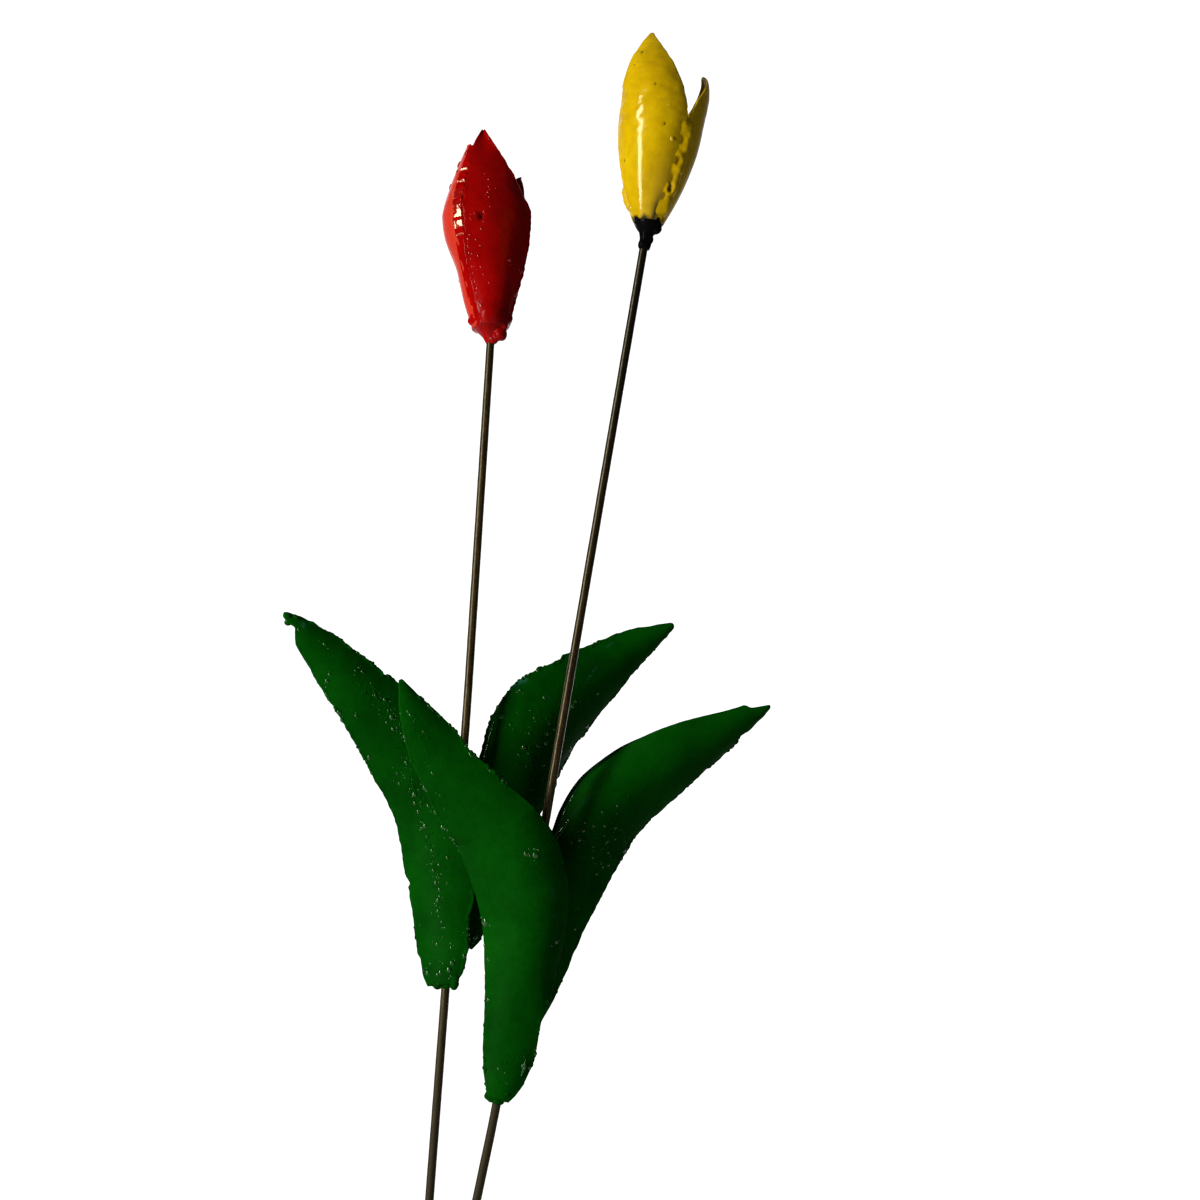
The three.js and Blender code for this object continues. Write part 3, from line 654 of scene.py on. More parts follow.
def stem_at(stake, height):
    """Point and direction of a stem's centre line at a height along it."""
    lower = lean_direction(stake.lower, stake.back)
    upper = lean_direction(stake.upper, stake.back)
    bend = np.array(stake.soil) + lower * stake.bend
    past = height - stake.bend
    if past <= -BEND_RUN:
        return bend + lower * past, lower
    if past >= BEND_RUN:
        return bend + upper * past, upper
    share = (past + BEND_RUN) / (2 * BEND_RUN)
    start = bend - lower * BEND_RUN
    end = bend + upper * BEND_RUN
    point = (1 - share) ** 2 * start + 2 * share * (1 - share) * bend + share ** 2 * end
    return point, unit((1 - share) * (bend - start) + share * (end - bend))


def stem(stake):
    """Round bar with a hammered skin and a broken lower edge, sooty at its top, and darker in painted shade
    and duller at its foot.
    """
    top = stake.flower_height
    heights = np.arange(-BURIED_DEPTH, top + STEM_INSERT, STEM_STEP)
    heights = np.concatenate([[heights[0], heights[0], heights[0] + STEM_CHAMFER], heights[1:]])
    radii = np.full(len(heights), STEM_RADIUS, float)
    radii[:2] = 0, STEM_RADIUS - STEM_CHAMFER
    angles = np.arange(STEM_SIDES) * 2 * math.pi / STEM_SIDES
    circle = np.stack([np.cos(angles), np.sin(angles), np.zeros(STEM_SIDES)], axis=-1)
    rings = []
    for height, radius in zip(heights, radii):
        point, along = stem_at(stake, height)
        ring = circle @ turn_from_up(along).T
        place = point + ring * radius
        dent = 0.05 * noise(place, 9, 5) + 0.035 * noise(place, 3, 6)
        rings.append(place + ring * (dent * (radius > 0))[:, None])
    faces = ring_faces(len(rings), STEM_SIDES) + [ring_points(len(rings) - 1, STEM_SIDES)]
    strength, run = stake.burnt
    burnt = strength * smooth(top - run, top - STEM_SOOT_END, heights)
    # Painted shade: the bar darkens, and its steel grows rougher, towards the foot
    dull_shaded_foot = 1 - smooth(*STEM_SHADED_FOOT, heights)
    shape = Shape()
    marks = dict(soot=np.repeat(burnt, STEM_SIDES), rub_and_painted_light=np.repeat(dull_shaded_foot, STEM_SIDES))
    shape.add(np.concatenate(rings), faces, **marks)
    return shape.object(f"{stake.name}_stem_bar")


# Sheets

def sheet(shape, surface, left, right, grid, look, seed, foot=0):
    """Closed sheet with soft, painted-over rims. Returns its outer side for what sits on it."""
    rows, columns = grid
    v = np.linspace(foot, 1, rows)
    share = (np.sin(np.linspace(-1, 1, columns) * math.pi / 2) + 1) / 2
    u = mix(left(v)[:, None], right(v)[:, None], share[None, :])
    places = np.broadcast_to(v[:, None], u.shape)
    middle = surface(u, places)
    across, _, normal = grid_frame(middle)
    from_left = run_along(middle, 1)
    from_right = from_left[:, -1:] - from_left
    from_foot = run_along(middle, 0)
    from_tip = from_foot[-1:] - from_foot
    inset = np.minimum(np.minimum(from_left, from_right), np.minimum(from_foot, from_tip))
    rim = np.sqrt(np.clip(1 - (1 - np.clip(inset, 0, RIM_RADIUS) / RIM_RADIUS) ** 2, 0, 1))
    clots = np.clip(0.35 + noise(middle, 4.2, seed) + 0.5 * noise(middle, 1.9, seed + 1), 0, 2)
    slag = look.slag(u) * np.exp(-((inset - SLAG_INSET) / SLAG_SPREAD) ** 2) * clots
    half = rim * (SHEET / 2 + slag)
    lift, marks = look.skin(u, places, middle)
    outer = middle + normal * (half + lift)[..., None]
    inner = middle + normal * (lift - half)[..., None]
    pillow(shape, outer, inner, **marks)
    return Traits(u=u, v=v, outer=outer, normal=normal, across=across)


# Leaves

def leaf_half_width(leaf, share):
    rise = np.sin(math.pi / 2 * np.minimum(share / leaf.widest, 1))
    rising = mix(leaf.foot_width / 2, leaf.width / 2, rise)
    past = np.clip((share - leaf.widest) / (1 - leaf.widest), 0, 1)
    falling = mix(leaf.width / 2, LEAF_TIP_HALF_WIDTH, past ** leaf.taper)
    return np.where(share < leaf.widest, rising, falling)


def leaf_axes(along, facing):
    """Directions out of a leaf and across it, for a spine direction and the way the leaf faces."""
    facing = np.radians(facing)
    level = np.stack([np.sin(facing), -np.cos(facing), np.zeros_like(facing)], axis=-1)
    outward = unit(level - along * np.sum(level * along, axis=-1, keepdims=True))
    return outward, np.cross(along, outward)


def leaf_surface(leaf):
    """Middle surface of a leaf: arcs along a curved spine, with a tighter roll on one half."""
    base, stem_along = stem_at(leaf.stake, leaf.foot_height)
    turn = turn_from_up(stem_along)
    half_foot = (leaf.foot_width if leaf.edge_on else SHEET) / 2
    foot = azimuth_direction(leaf.seat) * (LEAF_SEAT_RADIUS + half_foot)
    tip = foot + np.array([leaf.reach, leaf.depth, leaf.rise])
    foot_handle = foot + lean_direction(leaf.foot_lean, leaf.foot_back) * leaf.foot_run
    tip_handle = tip - lean_direction(leaf.tip_lean, 0) * leaf.tip_run

    def surface(u, v):
        w = 1 - v[..., None]
        x = v[..., None]
        spine = w ** 3 * foot + 3 * w ** 2 * x * foot_handle + 3 * w * x ** 2 * tip_handle + x ** 3 * tip
        run = w ** 2 * (foot_handle - foot) + 2 * w * x * (tip_handle - foot_handle)
        along = unit(run + x ** 2 * (tip - tip_handle))
        plain = mix(leaf.foot_facing, leaf.tip_facing, v)
        _, before = leaf_axes(along, plain)
        outward, across = leaf_axes(along, plain + np.interp(v, *np.transpose(leaf.turns)))
        broader = np.hypot(before[..., 0], before[..., 2]) / np.hypot(across[..., 0], across[..., 2])
        curl = np.radians(mix(leaf.foot_curl, leaf.tip_curl, v))
        half = leaf_half_width(leaf, v) * broader
        radius = half / curl
        hand, begin, end, tighter = leaf.roll
        from_roll = -hand * u
        tight = 1 + tighter * between(begin, end, 0.12, 0.25, v)
        middle = np.maximum(from_roll, ROLL_START) * curl
        angle = middle - np.maximum(ROLL_START - from_roll, 0) * curl * tight
        sideways = -hand * radius * (np.sin(middle) - (np.sin(middle) - np.sin(angle)) / tight)
        behind = radius * (np.cos(middle) - 1 + (np.cos(angle) - np.cos(middle)) / tight)
        return base + (spine + across * sideways[..., None] + outward * behind[..., None]) @ turn.T

    return surface


def leaf_edge(leaf, side):
    """Cut edge of a leaf as a place across it: the noted wanderings plus a torch cut's teeth."""
    notes = np.array(leaf.left if side < 0 else leaf.right)
    rough = leaf.ragged[0 if side < 0 else 1]

    def edge(v):
        line = np.stack([LEAF_LENGTH * v, np.full_like(v, 40 * side), np.zeros_like(v)], axis=-1)
        teeth = 0.8 * noise(line, 7, leaf.seed) + 0.9 * noise(line, 2.6, leaf.seed + 1)
        quiet = smooth(0, 0.05, 1 - v)
        out = np.interp(v, notes[:, 0], notes[:, 1]) + rough * teeth * quiet
        half = leaf_half_width(leaf, v)
        return side * np.maximum(1 + out / half, 0.15)

    return edge


def leaf_look(leaf):
    """How a leaf's paint lies: soft dents, slag along the cut edges, lighter streaks of rubbed paint and
    painted sheen, and a near-black strip of painted shade.
    """
    left, right = leaf.slag

    def skin(u, v, middle):
        lift = 0.4 * noise(middle, 26, leaf.seed + 2) + 0.2 * noise(middle, 11, leaf.seed + 3)
        rub_and_painted_light = np.zeros_like(u)
        scale = np.array([leaf.width / 2, LEAF_LENGTH])
        streak = np.clip(0.8 + 0.4 * noise(middle, 2.2, leaf.seed + 4), 0, 1)
        # Lighter streaks: some rubbed paint, some painted sheen and highlights
        for u0, v0, u1, v1, width, strength in leaf.rubs:
            start = np.array([u0, v0]) * scale
            run = np.array([u1, v1]) * scale - start
            place = np.stack([u, v], axis=-1) * scale - start
            share = np.clip(place @ run / (run @ run), 0, 1)
            away = np.linalg.norm(place - share[..., None] * run, axis=-1)
            rub_and_painted_light = np.maximum(rub_and_painted_light, strength * np.exp(-(away / width) ** 2) * streak)
        # Painted shade: a near-black strip along the left edge, where the edge turns away from the light
        start, end, width = leaf.burnt
        strip = width * between(start, end, 0.08, 0.2, v)
        from_edge = (u - leaf_edge(leaf, -1)(v)) * leaf_half_width(leaf, v)
        soot = smooth(0, 0.8, strip - from_edge) * (width > 0)
        return lift, dict(rub_and_painted_light=rub_and_painted_light, soot=soot)

    return Traits(slag=lambda u: np.where(u < 0, left, right), skin=skin)


def leaf_weld(leaf, name):
    """Molten weld between a leaf's foot and the bar."""
    base, along = stem_at(leaf.stake, leaf.foot_height)
    turn = turn_from_up(along)
    chance = random.Random(leaf.seed)
    seat = turn @ azimuth_direction(leaf.seat)
    tangent = turn @ azimuth_direction(leaf.seat + 90)
    axes = np.array([tangent, np.cross(along, tangent), along])
    spread = 3 if leaf.edge_on else leaf.foot_width / 2 - 6.5
    shape = Shape()
    for index in range(WELD_DROPS):
        place = base + tangent * chance.uniform(-1, 1) * spread
        place = place + seat * chance.uniform(1.5, 4.6) + along * chance.uniform(-0.5, 6.5)
        size = chance.uniform(2.1, 3)
        add_blob(shape, place, axes, (size * 1.2, size, size), leaf.seed + index, large=True)
    return fused(shape, f"{name}_foot_weld", 8)


def leaf_pieces(leaf):
    name = f"{leaf.stake.name}_{leaf.name}"
    shape = Shape()
    seed = leaf.seed
    edges = leaf_edge(leaf, -1), leaf_edge(leaf, 1)
    side = sheet(shape, leaf_surface(leaf), *edges, LEAF_GRID, leaf_look(leaf), seed)
    add_drops(shape, side, LEAF_DROPS[name], seed, 2)
    add_edge_beads(shape, side, EDGE_BEADS[name], seed)
    add_scatter(shape, side, LEAF_SCATTER[name], seed)
    for *route, half_width, rise in leaf.ridges:
        add_ridge(shape, side, route, half_width, rise, seed)
    return [(shape.object(f"{name}_blade"), name), (leaf_weld(leaf, name), f"{name}_weld")]


# Flowers

def cup_radius(flower, height):
    height = np.asarray(height, float)
    rise = np.clip(height / flower.belly_height, 0, 1)
    below = mix(flower.foot_radius, flower.belly_radius, np.sin(math.pi / 2 * rise) ** flower.swell)
    tallest = max(petal.height for petal in flower.petals)
    past = np.maximum((height - flower.belly_height) / (tallest - flower.belly_height), 0)
    above = mix(flower.belly_radius, flower.tip_radius, past ** flower.closing)
    return np.where(height < flower.belly_height, below, above)


def head_frame(stake):
    base, _ = stem_at(stake, stake.flower_height)
    return base, turn_from_up(lean_direction(stake.flower.lean, stake.flower.lean_back))


def seam_top(flower, index):
    """Height of the seam between a petal and the next one on its right."""
    petals = flower.petals
    lower = min(petals[index].height, petals[(index + 1) % len(petals)].height)
    return min(petals[index].seam, SEAM_TOP_LIMIT * lower)


def petal_surface(stake, index):
    """Middle surface of a petal: a third of the bud up to the tops of its seams, then a tip of its own."""
    flower = stake.flower
    petal = flower.petals[index]
    look = Traits(**PETAL_LOOKS[f"{stake.name}_{petal.name}"])
    base, turn = head_frame(stake)
    half_share = math.pi / len(flower.petals)
    sideways = azimuth_direction(petal.azimuth + 90)
    seams = seam_top(flower, index - 1), seam_top(flower, index)

    def surface(u, v):
        height = v * petal.height
        radius = cup_radius(flower, height)
        widest = radius * half_share - SEAM_GAP / 2
        tip = petal.tip * widest
        runs = [np.clip((height - seam) / (petal.height - seam), 0, 1) for seam in seams]
        left, right = [(1 - run ** flower.taper) ** look.blunt for run in runs]
        left = mix(tip - PETAL_TIP_HALF_WIDTH, -widest, left)
        right = mix(tip + PETAL_TIP_HALF_WIDTH, widest, right)
        angle = radians(petal.azimuth) + mix(left, right, (u + 1) / 2) / radius
        bend = np.maximum(*runs) ** PETAL_BEND_POWER
        flat = (petal.flat + look.press) * smooth(0, flower.belly_height, height)
        curl = look.hook * np.maximum(*runs) ** 6
        reach = radius * (1 - flat * (1 - u * u)) + petal.flare * bend - curl
        place = np.stack([reach * np.sin(angle), -reach * np.cos(angle), height], axis=-1)
        return base + (place + sideways * (petal.sway * bend)[..., None]) @ turn.T

    return surface


def petal_look(stake, index, look, surface, seed):
    """How a petal's paint lies: soft dents, a hollow, brushed ripples toward the tip, pits darkened as
    painted shade, soot, and a paler tone of painted light.
    """
    petal = stake.flower.petals[index]

    def skin(u, v, middle):
        height = v * petal.height
        lift = look.relief * (0.55 * noise(middle, 26, seed + 2) + 0.28 * noise(middle, 11, seed + 3))
        brushed = middle * np.array([0.45, 0.45, 1])
        strokes = noise(brushed, 4.2, seed + 4) + 0.35 * noise(brushed, 2.4, seed + 6)
        dip = np.exp(-((height - HOLLOW_HEIGHT) / HOLLOW_SPREAD) ** 2) * (1 - u * u)
        lift = lift - look.hollow * dip
        lift = lift + look.ripple * strokes * smooth(*BRUSHED_HEIGHTS, height)
        foot = 1 - smooth(*FOOT_SOOT_HEIGHTS, height + 2 * noise(middle, 3, seed + 5))
        smoke = np.exp(-((u - SMOKE_PLACE) / SMOKE_SPREAD) ** 2) * (1 - smooth(*SMOKE_HEIGHTS, height))
        soot = look.soot * np.maximum(foot, 0.95 * smoke)
        for pit_u, pit_v, size in look.pits:
            centre = surface(np.array([pit_u]), np.array([pit_v]))[0]
            away = np.linalg.norm((middle - centre) * np.array([1, 1, PIT_STRETCH]), axis=-1)
            hollow = np.exp(-(away / size) ** 2)
            lift = lift - PIT_DEPTH * size * hollow
            # Painted shade: each pit is darkened inside
            soot = np.maximum(soot, 0.95 * np.clip(1.5 * hollow - 0.3, 0, 1))
        # The paler tone is painted light
        return lift, dict(soot=soot, rub_and_painted_light=np.full_like(u, look.pale))

    return Traits(slag=lambda u: look.slag, skin=skin)


def petal_piece(stake, index, seed):
    petal = stake.flower.petals[index]
    name = f"{stake.name}_{petal.name}"
    look = Traits(**PETAL_LOOKS[name])
    shape = Shape()

    def edge(side):
        def place(v):
            height = v * petal.height
            line = np.stack([height, np.full_like(v, 30 * side), np.zeros_like(v)], axis=-1)
            widest = cup_radius(stake.flower, height) * math.pi / len(stake.flower.petals)
            where = between(*TRIM_HEIGHTS, TRIM_FADE, TRIM_FADE, height)
            cut = TRIM_DEPTH * where * (side == look.trim) / widest
            return side * (1 - cut + look.ragged * (noise(line, 5, seed) + noise(line, 2, seed + 1)))
        return place

    surface = petal_surface(stake, index)
    skin = petal_look(stake, index, look, surface, seed)
    foot = stake.petal_foot / petal.height
    side = sheet(shape, surface, edge(-1), edge(1), PETAL_GRID, skin, seed, foot)
    add_drops(shape, side, look.drops, seed, 1)
    return shape.object(f"{name}_sheet")


def seam_piece(stake, index, seed):
    """Weld over a seam, run out on to the petals on both sides under thick paint."""
    flower = stake.flower
    petals = flower.petals
    follower = (index + 1) % len(petals)
    name = f"{stake.name}_{petals[index].name}"
    look = Traits(**SEAMS[name])
    top = seam_top(flower, index)
    height = np.linspace(SEAM_START + stake.petal_foot, top + SEAM_OVERRUN, int(top))
    up = height[:, None]
    s = np.linspace(-1, 1, SEAM_COLUMNS)
    away = look.half * s[None, :]
    widest = (cup_radius(flower, height) * math.pi / len(petals) - SEAM_GAP / 2)[:, None]
    before = petal_surface(stake, index)
    after = petal_surface(stake, follower)
    on_before = before(1 + (SEAM_GAP / 2 + away) / widest, up / petals[index].height + 0 * away)
    on_after = after(-1 - (SEAM_GAP / 2 - away) / widest, up / petals[follower].height + 0 * away)
    ground = mix(on_before, on_after, smooth(-1, 1, s)[None, :, None])
    first, last, wave = look.ripples
    rippled = between(first, last, RIPPLE_FADE, RIPPLE_FADE, up)
    level = mix(ground[:, :1], ground[:, -1:], (s[None, :, None] + 1) / 2)
    ground = mix(ground, level, rippled[..., None] * look.broad)
    _, _, normal = grid_frame(ground)
    crown = s - look.lean * (1 - s * s)
    round_top = (1 - crown * crown) ** 1.5
    broad_top = between(-1, 1, 0.25, 0.4, s)
    profile = mix(round_top, broad_top, rippled * look.broad)
    profile = profile * smooth(0, 7, top + SEAM_OVERRUN - up) * smooth(0, 6, up - up[0])
    swell = 1 + 0.4 * noise(ground, 12, seed) + 0.2 * noise(ground, 5, seed + 1)
    lumps = look.lumps * noise(ground, look.grain, seed + 2)
    phase = 2 * math.pi * up / RIPPLE_PITCH + 2.8 * noise(ground, 8, seed + 3) + 0.8 * s * s + 0.9 * s
    uneven = 1 + 0.5 * noise(ground, 6, seed + 5) + 0.9 * smooth(86, 120, up)
    ripples = wave * rippled * (0.8 + np.sin(phase)) * uneven
    rise = look.rise * mix(1 - 0.65 * look.broad, 1, rippled) * swell
    lift = profile * (rise + lumps + ripples) - SEAM_SINK * (1 - profile)
    soot = np.zeros_like(lift)
    for place, hole_height, size in look.holes:
        reach = np.hypot(away - place * look.half, (up - hole_height) * 0.75)
        reach = reach + 0.8 * noise(ground, 2.5, seed + 4)
        hollow = np.exp(-(reach / size) ** 4)
        lift = lift - hollow * (lift + 0.25)
        # Painted shade: each hole is darkened inside
        soot = np.maximum(soot, 0.8 * hollow)
    outer = ground + normal * (SHEET / 2 + lift)[..., None]
    inner = ground + normal * (SHEET / 2 - SEAM_DEPTH)
    shape = Shape()
    film = np.zeros(len(height), bool)
    for start, end in look.shine:
        film |= (height > start) & (height < end)
    pillow(shape, outer, inner, film, soot=soot)
    return shape.object(f"{name}_seam_bead")


def flower_foot_weld(stake, seed):
    """Molten weld that closes the foot of the bud round the stem's top."""
    base, turn = head_frame(stake)
    foot = FLOWER_FOOTS[stake.name]
    around = np.linspace(0, 2 * math.pi, COLLAR_SIDES, endpoint=False)
    circle = np.stack([np.cos(around), np.sin(around), np.zeros(COLLAR_SIDES)], axis=-1)
    rings = np.array([circle * radius + np.array([0, 0, height]) for height, radius in foot.collar])
    swell = 1 + 0.06 * noise(rings, 9, seed) + 0.03 * noise(rings, 4, seed + 1)
    rings[..., :2] *= swell[..., None]
    faces = ring_faces(len(rings), COLLAR_SIDES)
    faces += [ring_points(0, COLLAR_SIDES)[::-1], ring_points(len(rings) - 1, COLLAR_SIDES)]
    shape = Shape()
    shape.add(base + rings.reshape(-1, 3) @ turn.T, faces)
    for index, (right, back, up, radius) in enumerate(foot.drops):
        place = base + turn @ np.array([right, back, up])
        add_blob(shape, place, turn.T, (radius, radius, radius), seed + index, uneven=0.15, large=True)
    return fused(shape, f"{stake.name}_flower_foot_weld", 10)


# Materials

class Coat:
    """Material with a Principled shader and the nodes that feed it."""

    def __init__(self, name):
        self.material = bpy.data.materials.new(name)
        self.material.use_nodes = True
        self.material.node_tree.nodes.clear()
        self.shader = self.add("ShaderNodeBsdfPrincipled")
        self.where = self.add("ShaderNodeTexCoord").outputs["Object"]
        self.connect(self.shader.outputs["BSDF"], self.add("ShaderNodeOutputMaterial").inputs["Surface"])

    def add(self, kind, **settings):
        """Node with its settings and its inputs' values, named with _ for a space."""
        made = self.material.node_tree.nodes.new(kind)
        for key, value in settings.items():
            if hasattr(made, key):
                setattr(made, key, value)
            else:
                made.inputs[key.replace("_", " ")].default_value = value
        return made

    def connect(self, value, socket):
        """Feed a socket from another node, or with a number or a colour."""
        if hasattr(value, "is_linked"):
            self.material.node_tree.links.new(value, socket)
        else:
            socket.default_value = (*value, 1) if isinstance(value, tuple) else value

    def feed(self, **inputs):
        """Feed the shader's own inputs, named with _ for a space."""
        for key, value in inputs.items():
            self.connect(value, self.shader.inputs[key.replace("_", " ")])

    def mark(self, label):
        return self.add("ShaderNodeAttribute", attribute_name=label).outputs["Fac"]

    def noise(self, scale, detail, roughness=0.55, where=None):
        made = self.add("ShaderNodeTexNoise", Scale=scale, Detail=detail, Roughness=roughness)
        self.connect(where or self.where, made.inputs["Vector"])
        return made.outputs["Fac"]

    def ramp(self, source, stops):
        made = self.add("ShaderNodeValToRGB")
        elements = made.color_ramp.elements
        while len(elements) < len(stops):
            elements.new(0.5)
        for element, (position, color) in zip(elements, stops):
            element.position = position
            element.color = (*color, 1)
        self.connect(source, made.inputs["Fac"])
        return made.outputs["Color"]

    def mix(self, share, first, second, mode="MIX"):
        made = self.add("ShaderNodeMix", data_type="RGBA", blend_type=mode)
        for socket, value in ((0, share), (6, first), (7, second)):
            self.connect(value, made.inputs[socket])
        return made.outputs[2]

    def math(self, operation, *values):
        made = self.add("ShaderNodeMath", operation=operation)
        for value, socket in zip(values, made.inputs):
            self.connect(value, socket)
        return made.outputs[0]

    def remap(self, source, low, high, start=0, end=1, kind="LINEAR"):
        span = dict(From_Min=start, From_Max=end, To_Min=low, To_Max=high)
        made = self.add("ShaderNodeMapRange", interpolation_type=kind, **span)
        self.connect(source, made.inputs["Value"])
        return made.outputs["Result"]

    def bump(self, source, strength, distance, under=None):
        made = self.add("ShaderNodeBump", Strength=strength, Distance=distance)
        self.connect(source, made.inputs["Height"])
        if under:
            self.connect(under, made.inputs["Normal"])
        return made.outputs["Normal"]


WHITE = (1, 1, 1)


def grey(level):
    return (level, level, level)


def paint(name, deep, plain, bright, soot, rub_and_painted_light, roughness, specular, peel, tint=WHITE):
    """Thick brushed enamel: uneven colour, a dark tone for soot and painted shade and a light tone for rubbed
    streaks and painted light where they are marked, and orange peel.
    """
    coat = Coat(name)
    fine = coat.noise(160, 4)
    tone = coat.ramp(coat.noise(28, 3), [(0.3, deep), (0.5, plain), (0.72, bright)])
    color = coat.mix(0.5, tone, coat.ramp(fine, [(0.3, grey(0.72)), (0.6, WHITE)]), "MULTIPLY")
    # Light tone where marked: rubbed leaf streaks, and painted light as a sheen on some leaf streaks and on
    # the red petals
    color = coat.mix(coat.mark("rub_and_painted_light"), color, rub_and_painted_light)
    # Dark tone where marked: soot, and painted shade in petal pits, weld holes and a leaf-edge strip
    color = coat.mix(coat.mark("soot"), color, soot)
    ripple = coat.bump(coat.noise(95, 2), peel, 0.0016)
    coat.feed(
        Base_Color=color,
        Roughness=coat.remap(fine, roughness - 0.05, roughness + 0.07),
        Normal=coat.bump(coat.noise(420, 2), peel, 0.0004, ripple),
        Specular_Tint=tint,
        Specular_IOR_Level=specular,
    )
    return coat.material


def bar_steel():
    """Dark browned bar: drawn streaks, rust freckles, painted shade and rougher steel at the foot, and soot
    at the top.
    """
    coat = Coat("browned_bar")
    streak = coat.add("ShaderNodeMapping", Scale=(1, 1, 0.06))
    coat.connect(coat.where, streak.inputs["Vector"])
    lines = coat.noise(900, 3, 0.6, streak.outputs["Vector"])
    freckles = coat.noise(480, 3)
    base = coat.ramp(lines, [(0.35, (0.009, 0.006, 0.0015)), (0.7, (0.075, 0.051, 0.014))])
    rust = coat.ramp(freckles, [(0.45, (0.01, 0.006, 0.002)), (0.75, (0.07, 0.034, 0.009))])
    rusted = coat.ramp(coat.noise(14, 4), [(0.42, grey(0)), (0.66, grey(0.8))])
    dull_shaded_foot = coat.mark("rub_and_painted_light")
    color = coat.mix(rusted, base, rust)
    # Painted shade: darker towards the foot
    color = coat.mix(dull_shaded_foot, color, (0.017, 0.013, 0.005))
    color = coat.mix(coat.mark("soot"), color, (0.003, 0.003, 0.002))
    coat.feed(
        Base_Color=color,
        Roughness=coat.math("MULTIPLY_ADD", dull_shaded_foot, 0.35, coat.remap(freckles, 0.2, 0.42)),
        Normal=coat.bump(freckles, 0.35, 0.0003),
        Specular_Tint=(1, 0.84, 0.5),
        Specular_IOR_Level=0.4,
    )
    return coat.material


# Tones of each paint: deep, plain, bright, dark for soot and painted shade, and light for rubbed paint and
# painted light
RED_TONES = (
    (0.27, 0.0008, 0.0006), (0.35, 0.001, 0.0008), (0.42, 0.002, 0.0015),
    (0.006, 0.001, 0.001), (0.62, 0.036, 0.016),
)
YELLOW_TONES = (
    (0.62, 0.375, 0.0006), (0.71, 0.445, 0.001), (0.77, 0.5, 0.002),
    (0.012, 0.007, 0.002), (0.85, 0.7, 0.2),
)
GREEN_TONES = (
    (0.0005, 0.045, 0.0006), (0.0008, 0.062, 0.0009), (0.0016, 0.076, 0.0014),
    (0.002, 0.01, 0.003), (0.03, 0.2, 0.11),
)
BLACK_TONES = grey(0.002), grey(0.003), grey(0.005), grey(0.002), grey(0.1)

# Each paint is a skin and the glossier film on its bubbles and runs
PAINTS = {
    "red_paint": (
        paint("red_enamel", *RED_TONES, 0.22, 0.08, 0.25),
        paint("red_film", *RED_TONES, 0.12, 0.9, 0.1, (1, 0.66, 0.55)),
    ),
    "red_satin": (
        paint("red_satin", *RED_TONES, 0.5, 0, 0.3),
        paint("red_run", *RED_TONES, 0.14, 0.9, 0.1, (1, 0.85, 0.5)),
    ),
    "yellow_paint": (
        paint("yellow_enamel", *YELLOW_TONES, 0.14, 0.36, 0.2, (1, 0.94, 0.6)),
        paint("yellow_film", *YELLOW_TONES, 0.18, 0.4, 0.1),
    ),
    "yellow_satin": (
        paint("yellow_satin", *YELLOW_TONES, 0.4, 0.06, 0.3),
        paint("yellow_run", *YELLOW_TONES, 0.25, 0.2, 0.1),
    ),
    "green_paint": (
        paint("green_enamel", *GREEN_TONES, 0.5, 0.012, 0.25),
        paint("green_film", *GREEN_TONES, 0.12, 0.7, 0.1, (0.7, 1, 0.6)),
    ),
    "black_paint": (
        paint("black_enamel", *BLACK_TONES, 0.2, 0.02, 0.15),
        paint("black_film", *BLACK_TONES, 0.15, 0.3, 0.1),
    ),
    "bare_stem": (bar_steel(),),
}


def finish_piece(piece, stake, slot, coat, *nodes):
    for mat in PAINTS[coat]:
        piece.data.materials.append(mat)
    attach(piece, f"{stake.name}_stake")
    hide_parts(*nodes)


# The two stakes

for stake in (RED, YELLOW):
    color = stake.name
    slot = f"{color}_paint"
    finish_piece(stem(stake), stake, "bare_stem", "bare_stem", f"{color}_stem")
    for index, petal in enumerate(stake.flower.petals):
        node_name = f"{color}_{petal.name}"
        coat = f"{color}_satin" if petal.name in ("right_petal", "back_petal") else slot
        finish_piece(petal_piece(stake, index, PETAL_SEED + index), stake, slot, coat, node_name)
        seam = seam_piece(stake, index, SEAM_SEED + index)
        finish_piece(seam, stake, slot, f"{color}_satin", f"{node_name}_seam_weld")
    foot_slot = "red_paint" if stake is RED else "black_paint"
    foot_weld = flower_foot_weld(stake, FOOT_SEED)
    finish_piece(foot_weld, stake, foot_slot, foot_slot, f"{color}_flower_base_weld")

for leaf in LEAVES:
    for piece, node_name in leaf_pieces(leaf):
        finish_piece(piece, leaf.stake, "green_paint", "green_paint", node_name)


# Floor, backdrop, light and camera: lengths in metres, the tilt in degrees, the sensor in millimetres

FLOOR_HEIGHT = -0.151
FLOOR_FRONT = -4
FLOOR_HALF_WIDTH = 5
BOW_START = 2.4
BOW_RADIUS = 0.8
BOW_STEPS = 12
BACKDROP = (3.2, 3.6)
CAMERA_DISTANCE = 1.5
CAMERA_LOOKS_UP = 9
VIEW_CENTRE = (0.104, 0.446)
HALF_VIEW = 0.28
SENSOR = 36


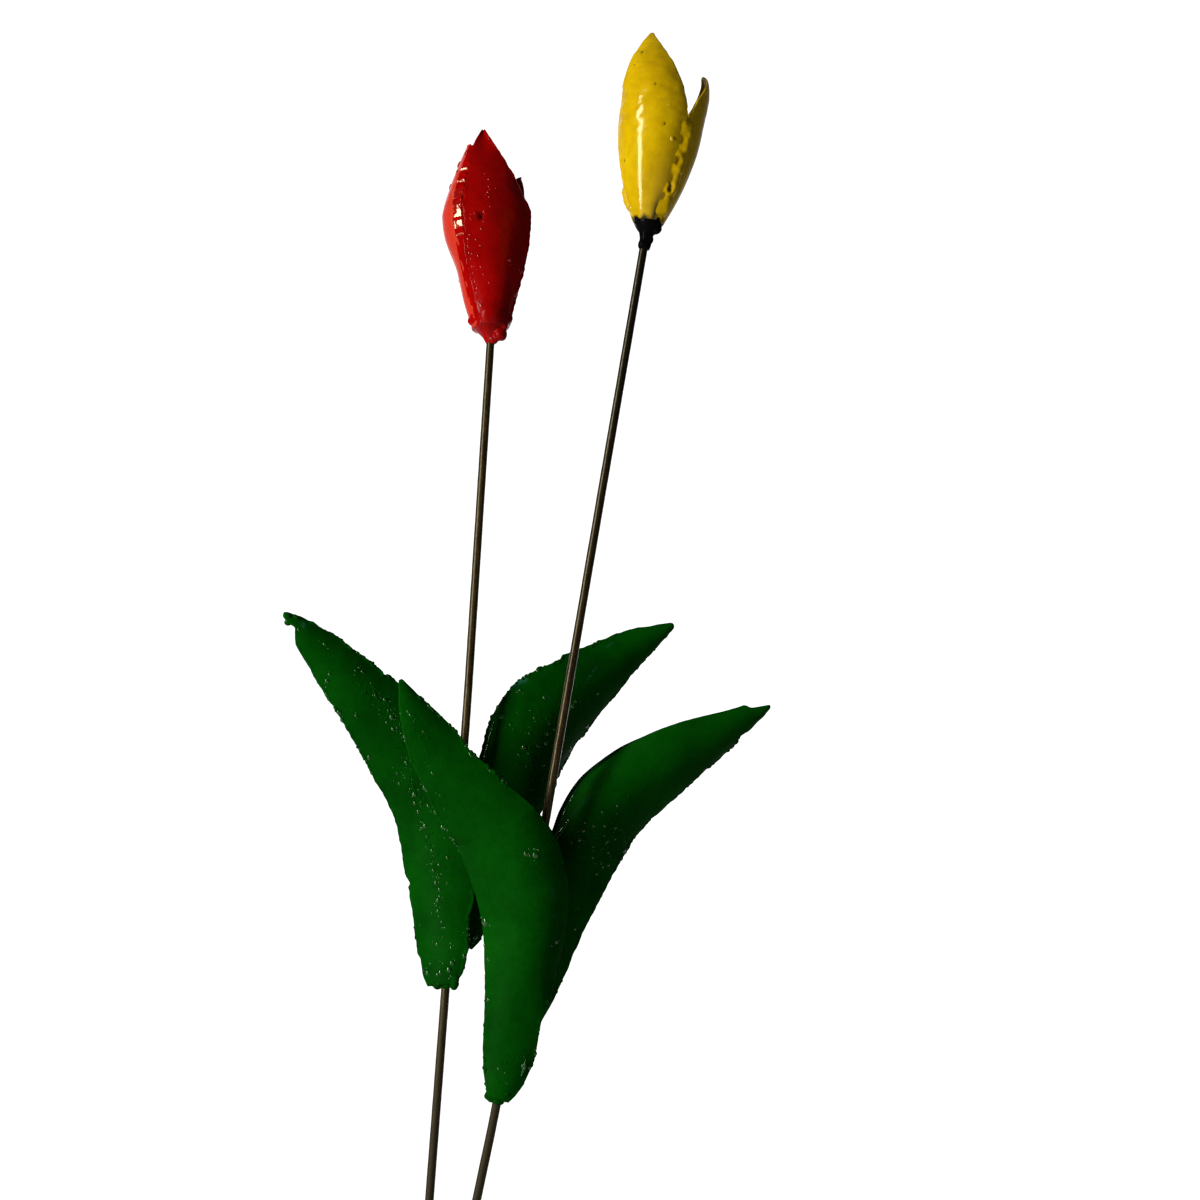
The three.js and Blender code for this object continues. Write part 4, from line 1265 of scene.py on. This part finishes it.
def stage_paper():
    """Pale paper: plain round the object, white where it is the photograph's background."""
    coat = Coat("stage_paper")
    parts = coat.add("ShaderNodeSeparateXYZ")
    coat.connect(coat.where, parts.inputs[0])
    behind = coat.remap(parts.outputs["Y"], 0.25, 1, 0.6, 1.4, "SMOOTHSTEP")
    aside = coat.math("ABSOLUTE", parts.outputs["X"])
    within = coat.remap(aside, 1, 0.25, 1.6, 2.4, "SMOOTHSTEP")
    path = coat.add("ShaderNodeLightPath").outputs
    seen = coat.math("MAXIMUM", path["Is Camera Ray"], path["Is Glossy Ray"])
    seen = coat.math("MAXIMUM", seen, path["Is Transmission Ray"])
    coat.feed(
        Base_Color=grey(0.82),
        Roughness=0.9,
        Specular_IOR_Level=0.2,
        Emission_Color=WHITE,
        Emission_Strength=coat.math("MULTIPLY", coat.math("MULTIPLY", seen, behind), within),
    )
    return coat.material


def stage():
    """Floor that curves up into a backdrop behind the object."""
    profile = [(FLOOR_FRONT, 0), (BOW_START, 0)]
    for step in range(1, BOW_STEPS + 1):
        angle = math.pi / 2 * step / BOW_STEPS
        profile.append((BOW_START + BOW_RADIUS * math.sin(angle), BOW_RADIUS * (1 - math.cos(angle))))
    profile.append(BACKDROP)
    points = []
    faces = []
    for index, (y, z) in enumerate(profile):
        points += [(side * FLOOR_HALF_WIDTH, y, FLOOR_HEIGHT + z) for side in (-1, 1)]
        if index:
            faces.append((2 * index - 2, 2 * index - 1, 2 * index + 1, 2 * index))
    mesh = bpy.data.meshes.new("stage_sweep")
    mesh.from_pydata(points, [], faces)
    mesh.polygons.foreach_set("use_smooth", np.ones(len(mesh.polygons), bool))
    mesh.materials.append(stage_paper())
    sweep = in_scene("stage_sweep", mesh)


def area_light(name, place, target, width, height, watts):
    lamp = bpy.data.lights.new(name, "AREA")
    lamp.shape = "RECTANGLE"
    lamp.size = width
    lamp.size_y = height
    lamp.energy = watts
    lamp_object = in_scene(name, lamp)
    lamp_object.location = place
    direction = Vector(target) - Vector(place)
    lamp_object.rotation_euler = direction.to_track_quat("-Z", "Y").to_euler()


stage()
area_light("key_strip", (-1.34, -1.08, 0.82), (0.05, 0, 0.82), 0.34, 1.5, 38)
area_light("edge_strip", (1.3, 2.3, 0.6), (0.05, 0, 0.5), 0.12, 1, 3)

world = bpy.data.worlds.new("room")
world.use_nodes = True
world.node_tree.nodes["Background"].inputs["Color"].default_value = (0.042, 0.042, 0.042, 1)
bpy.context.scene.world = world

camera_data = bpy.data.cameras.new("camera")
camera_data.sensor_width = SENSOR
camera_data.lens = SENSOR / 2 / HALF_VIEW
camera = in_scene("camera", camera_data)
tilt = radians(CAMERA_LOOKS_UP)
view_x, view_z = VIEW_CENTRE
camera.location = (view_x, -CAMERA_DISTANCE * math.cos(tilt), view_z - CAMERA_DISTANCE * math.sin(tilt))
camera.rotation_euler = (radians(90 + CAMERA_LOOKS_UP), 0, 0)
bpy.context.scene.camera = camera
bpy.context.scene.view_settings.view_transform = "Standard"
